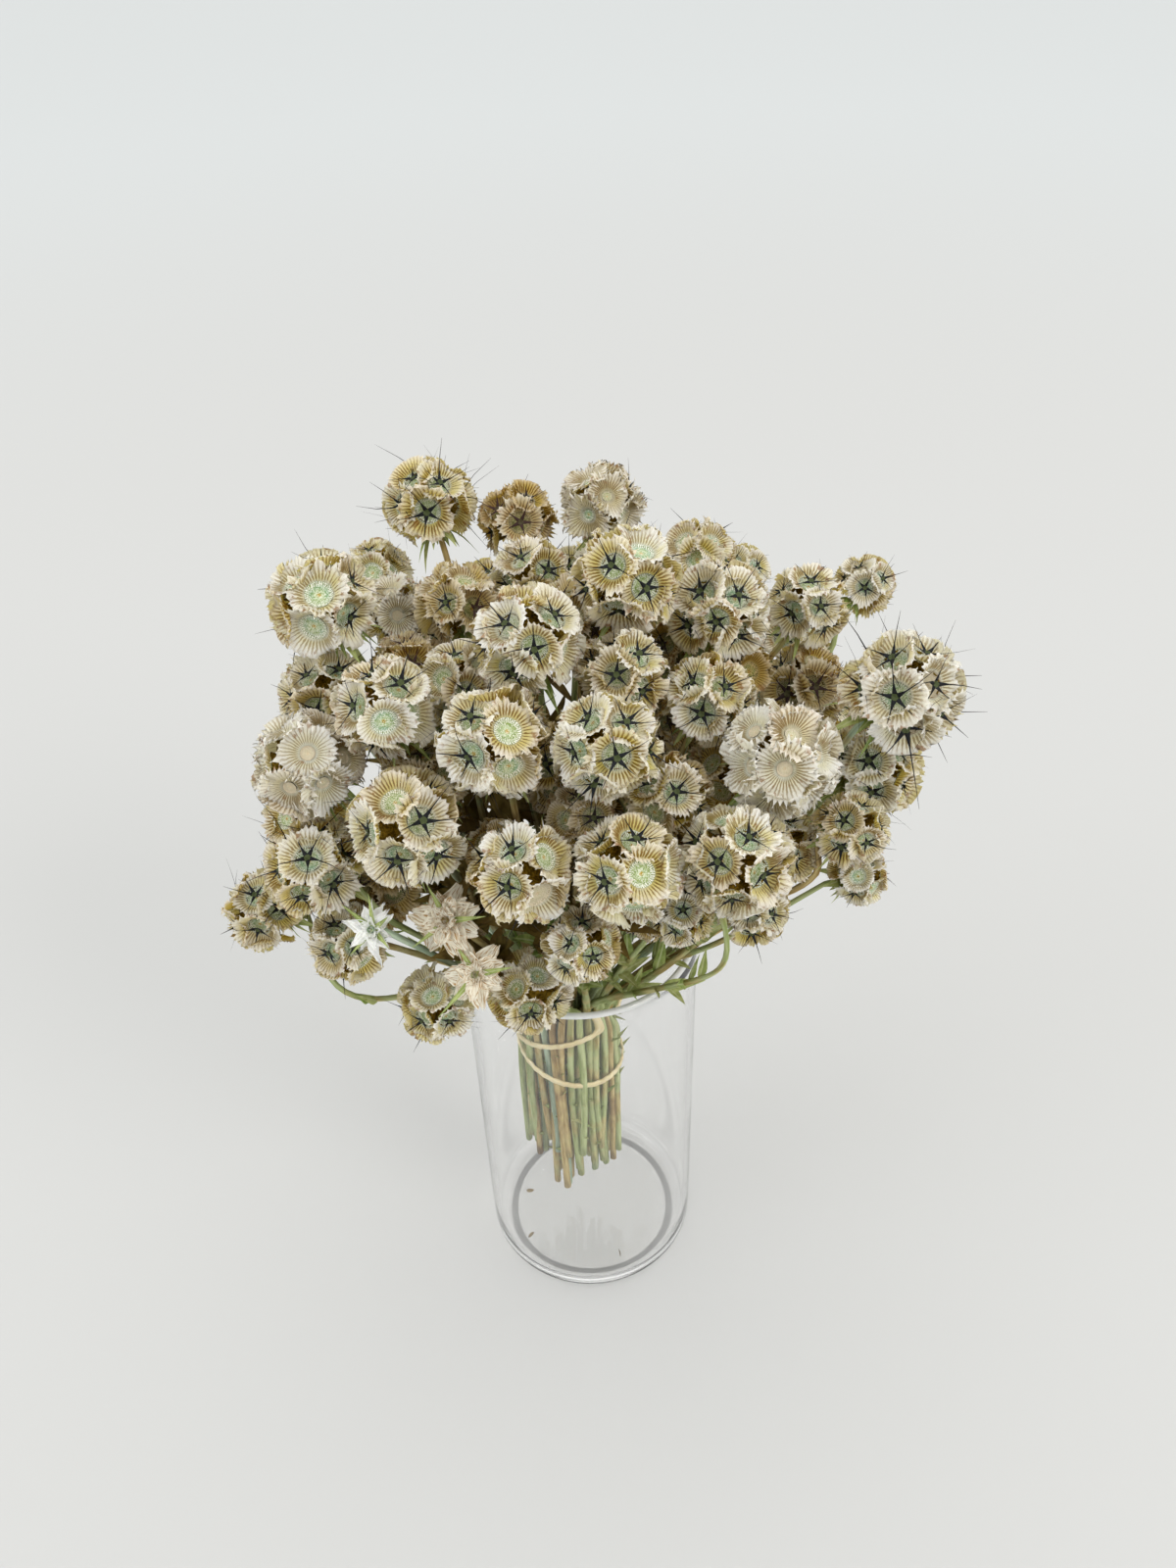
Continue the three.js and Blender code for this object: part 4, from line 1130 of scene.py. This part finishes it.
def seed_head(row, ribs=RIBS, bowl_sides=BOWL_SIDES):
    """The blocks of one head."""
    centre, radius = centres[row], radii[row] * SWELL
    chance = np.random.default_rng(1000 + row)
    # Side heads are brown or ochre: partly dried colour, partly painted shade deep in the bunch.
    usual = "straw" if row < first_side else ("brown", "ochre")[row % 2]
    kind = next((kind for kind, rows in DRIED_ROWS.items() if row in rows), usual)
    brown, white, star_share, frayed, awns = DRIED[kind]
    narrow = 0.5 if star_share < 0.5 else 1.0
    outward = cup_directions(unit(centre - NECK), head_turns[row], radius)
    count = len(outward)
    apart = np.arccos(np.clip(outward @ outward.T, -1, 1)) + np.eye(count) * 9
    half = HALF_ANGLE["share"] * np.sort(apart, axis=1)[:, :3].mean(axis=1)
    half = np.clip(half, HALF_ANGLE["least"], HALF_ANGLE["most"])
    size = radius * np.sin(half) * chance.uniform(*CUP["size"], count)
    depth = size * chance.uniform(*CUP["depth"], count)
    foot = radius * np.cos(half) * chance.uniform(*CUP["stands"], count) - depth * CUP["sunk"]
    facing = unit(outward + chance.normal(0, CUP["nod"], (count, 3)))
    side = unit(np.cross(facing, unit(chance.normal(size=(count, 3)))))
    rank = chance.permutation(count)
    has_star = chance.uniform(size=count) < star_share
    for k in BARE.get(row, ()):
        has_star[k] = False
    tone = np.stack([
        np.clip(brown + chance.normal(0, UNLIKE["browning"], count), 0, 1),
        np.clip(white + chance.normal(0, UNLIKE["whiteness"], count), 0, 1),
        chance.uniform(size=count),
    ], axis=-1)
    cups = [Cup(centre, *one) for one in zip(outward * foot[:, None], facing, side, size, depth, tone)]
    sheets = np.array([funnel_sheet(cup, frayed, narrow, ribs, chance) for cup in cups])
    shares = np.array([share for share, _, _ in FUNNEL])
    maps = [lie_map(shares, 2 * ribs, 0.5 * RIBS / ribs)]
    blocks = []
    for cup, points, starry in zip(cups, pressed_together(sheets, outward, rank, radius), has_star):
        blocks.append(cup.block(points, [grid_faces(len(FUNNEL), 2 * ribs)], PAPER, maps))
        blocks.append(bristles(cup, points, frayed, chance))
        blocks += bowl_and_tube(cup, HOLLOW_BOWL if starry else DOMED_BOWL, narrow, bowl_sides)
        blocks += star_arms(cup, awns, chance) if starry else []
    return blocks + [head_core(row)]


def papery_finish():
    """The ribbed funnel: ochre strokes between cream ribs near the bowl, partly stain and partly painted
    shade in the valleys of the pleats, whitish towards the edge.
    """
    finish = Finish("papery_funnel", roughness=0.75, shine=0.25)
    browning, white, chance = finish.tones()
    across, out = finish.lie()
    blotch = finish.noise(170, 3)
    speck = finish.noise(1500, 3)
    paper = finish.turning("#fefbdc", "#fefefd", out, 0.5, 0.8)

    # Broad ochre strokes from the bowl, thinner towards the edge, and fine veins between them. The strokes
    # fill the valleys between the raised ribs: partly ochre stain, partly painted shade.
    phase = finish.math("MULTIPLY_ADD", finish.noise(800, 1), 0.45, across)
    rib = finish.waves(phase, 2 * math.pi)
    duty = finish.fade(out, 0.5, 0.88, 0.74, 0.24)
    stroke = finish.fade(rib, finish.math("SUBTRACT", duty, 0.34), duty, 1.0, 0.0)
    # Stain and painted shade: the strokes darken the valleys between the pleats, most near the bowl.
    stain_and_shade = finish.turning("#957608", "#937630", out, 0.6, 0.95)
    strength = finish.fade(finish.math("MULTIPLY_ADD", blotch, 0.6, out), 0.8, 1.35, 0.98, 0.6)
    strength = finish.times(strength, finish.fade(chance, 0.0, 1.0, 0.75, 1.0))
    colour = finish.blend(finish.times(stroke, strength), paper, stain_and_shade)
    vein = finish.fade(finish.waves(phase, 4 * math.pi), 0.22, 0.0)
    colour = finish.blend(finish.times(vein, finish.fade(out, 0.66, 0.9, 0.0, 0.6)), colour, "#8c742e")

    # A white fringe by the bowl and a white edge, and then what drying did: yellow patches,
    # browning, whitening, a rosy tint, burnt spots and specks.
    colour = finish.layers(
        colour, ("#f0f3e8", out, 0.53, 0.45, 0.0, 0.75), ("#fbfdfb", out, 0.86, 1.0, 0.0, 0.75))
    patchy = finish.fade(finish.math("MULTIPLY_ADD", chance, 0.3, blotch), 0.45, 0.9, 0.0, 0.85)
    patchy = finish.times(patchy, finish.fade(out, 0.6, 0.95, 1.0, 0.3))
    patchy = finish.times(patchy, finish.fade(white, 0.5, 0.95, 1.0, 0.35))
    colour = finish.stained(colour, "#e6da70", patchy)
    colour = finish.stained(colour, "#c4a44a", finish.times(browning, finish.fade(out, 0.6, 1.0, 0.95, 0.65)))
    pale = finish.times(white, finish.fade(out, 0.5, 1.0, 0.2, 0.8))
    colour = finish.blend(finish.times(pale, finish.fade(stroke, 0.0, 1.0, 1.0, 0.55)), colour, "#f8f7f4")
    colour = finish.stained(colour, "#f4dcca", finish.fade(chance, 0.6, 0.95, 0.0, 0.25))
    burnt = finish.math("MULTIPLY_ADD", out, 0.12, finish.noise(330, 3))
    colour = finish.layers(
        colour, ("#99692c", burnt, 0.68, 0.8, 0.0, 0.75), ("#a39454", speck, 0.55, 0.8, 0.0, 0.3))
    warmth = finish.fade(white, 0.4, 0.9, 0.95, 0.4)
    finish.let_through(0.34, "Translucent", finish.stained(colour, "#ffea70", warmth))
    return finish.dressed(colour, finish.math("ADD", finish.times(rib, 0.8), speck), 0.55, 0.0003)


def downy_finish():
    """The bowl: mint-green down, whitish towards the middle, with an ochre eye and a white fringe, and a
    darker olive ring of painted shade where it dips to its wall.
    """
    finish = Finish("downy_bowl", roughness=0.95, shine=0.15)
    browning, white, chance = finish.tones()
    across, out = finish.lie()
    down = finish.noise(2400)
    ray = finish.waves(finish.math("MULTIPLY_ADD", finish.noise(900, 1), 0.9, across), 3 * math.pi)
    fresh = finish.turning("#7fa78a", "#879a4c", chance, 0.3, 0.8)
    mint = finish.turning(fresh, "#9fb081", finish.noise(300), 0.35, 0.65)
    # Painted shade: a darker olive ring where the bowl dips to its wall, under the white rays.
    colour = finish.layers("#bccaa2", (mint, out, 0.1, 0.26), ("#76803c", out, 0.28, 0.4, 0.0, 0.8))
    colour = finish.blend(finish.times(finish.fade(out, 0.22, 0.38), ray), colour, "#f9faf2")
    colour = finish.layers(
        colour,
        ("#b8993f", out, 0.03, 0.1, 1.0, 0.0),
        ("#f2f3ea", down, 0.5, 0.62, 0.0, 0.65),
        ("#6b8444", down, 0.46, 0.34, 0.0, 0.75),
    )
    colour = finish.stained(colour, "#c4a878", browning)
    pinkish = finish.blend(0.8, colour, "#c9b9a0")
    return finish.dressed(finish.turning(colour, pinkish, white, 0.7, 0.95), down, 0.6, 0.0004)


def star_finish():
    """The star: blue-black and horny, greenish in the middle, browner along the awns."""
    finish = Finish("dark_star", roughness=0.65, shine=0.2)
    browning, _, _ = finish.tones()
    _, out = finish.lie()
    grain = finish.noise(900)
    colour = finish.layers(
        "#08090c",
        ("#1b1d22", grain, 0.35, 0.65),
        ("#3b3026", out, 0.4, 0.8, 0.0, 0.7),
        ("#56603a", out, 0.06, 0.0, 0.0, 0.7),
        ("#4b2f28", browning, 0.5, 0.9, 0.0, 0.6),
    )
    return finish.dressed(colour, grain, 0.3, 0.0003)


def husk_finish():
    """The hairy tubes and the hard middle of a head, seen only between the cups."""
    finish = Finish("husk", roughness=0.9, shine=0.2)
    hair = finish.noise(1200, 3)
    return finish.dressed(finish.turning("#544206", "#8a7022", hair, 0.35, 0.65), hair, 0.6, 0.0005)


head_materials = [papery_finish(), downy_finish(), star_finish(), husk_finish()]
for row in range(len(HEADS)):
    blocks = seed_head(row)
    for k, pressed in enumerate(PRESSED):
        if pressed[5] == row:
            blocks += seed_head(len(HEADS) + k)
    head = build_piece(f"seed_head_{row + 1:02d}", blocks, head_materials)
    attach(head, "root")
    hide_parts(f"head_{row + 1:02d}")
for k in range(len(side_heads)):
    blocks = seed_head(first_side + k, ribs=18, bowl_sides=10)
    head = build_piece(f"side_head_{k + 1:02d}", blocks, head_materials)
    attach(head, "root")
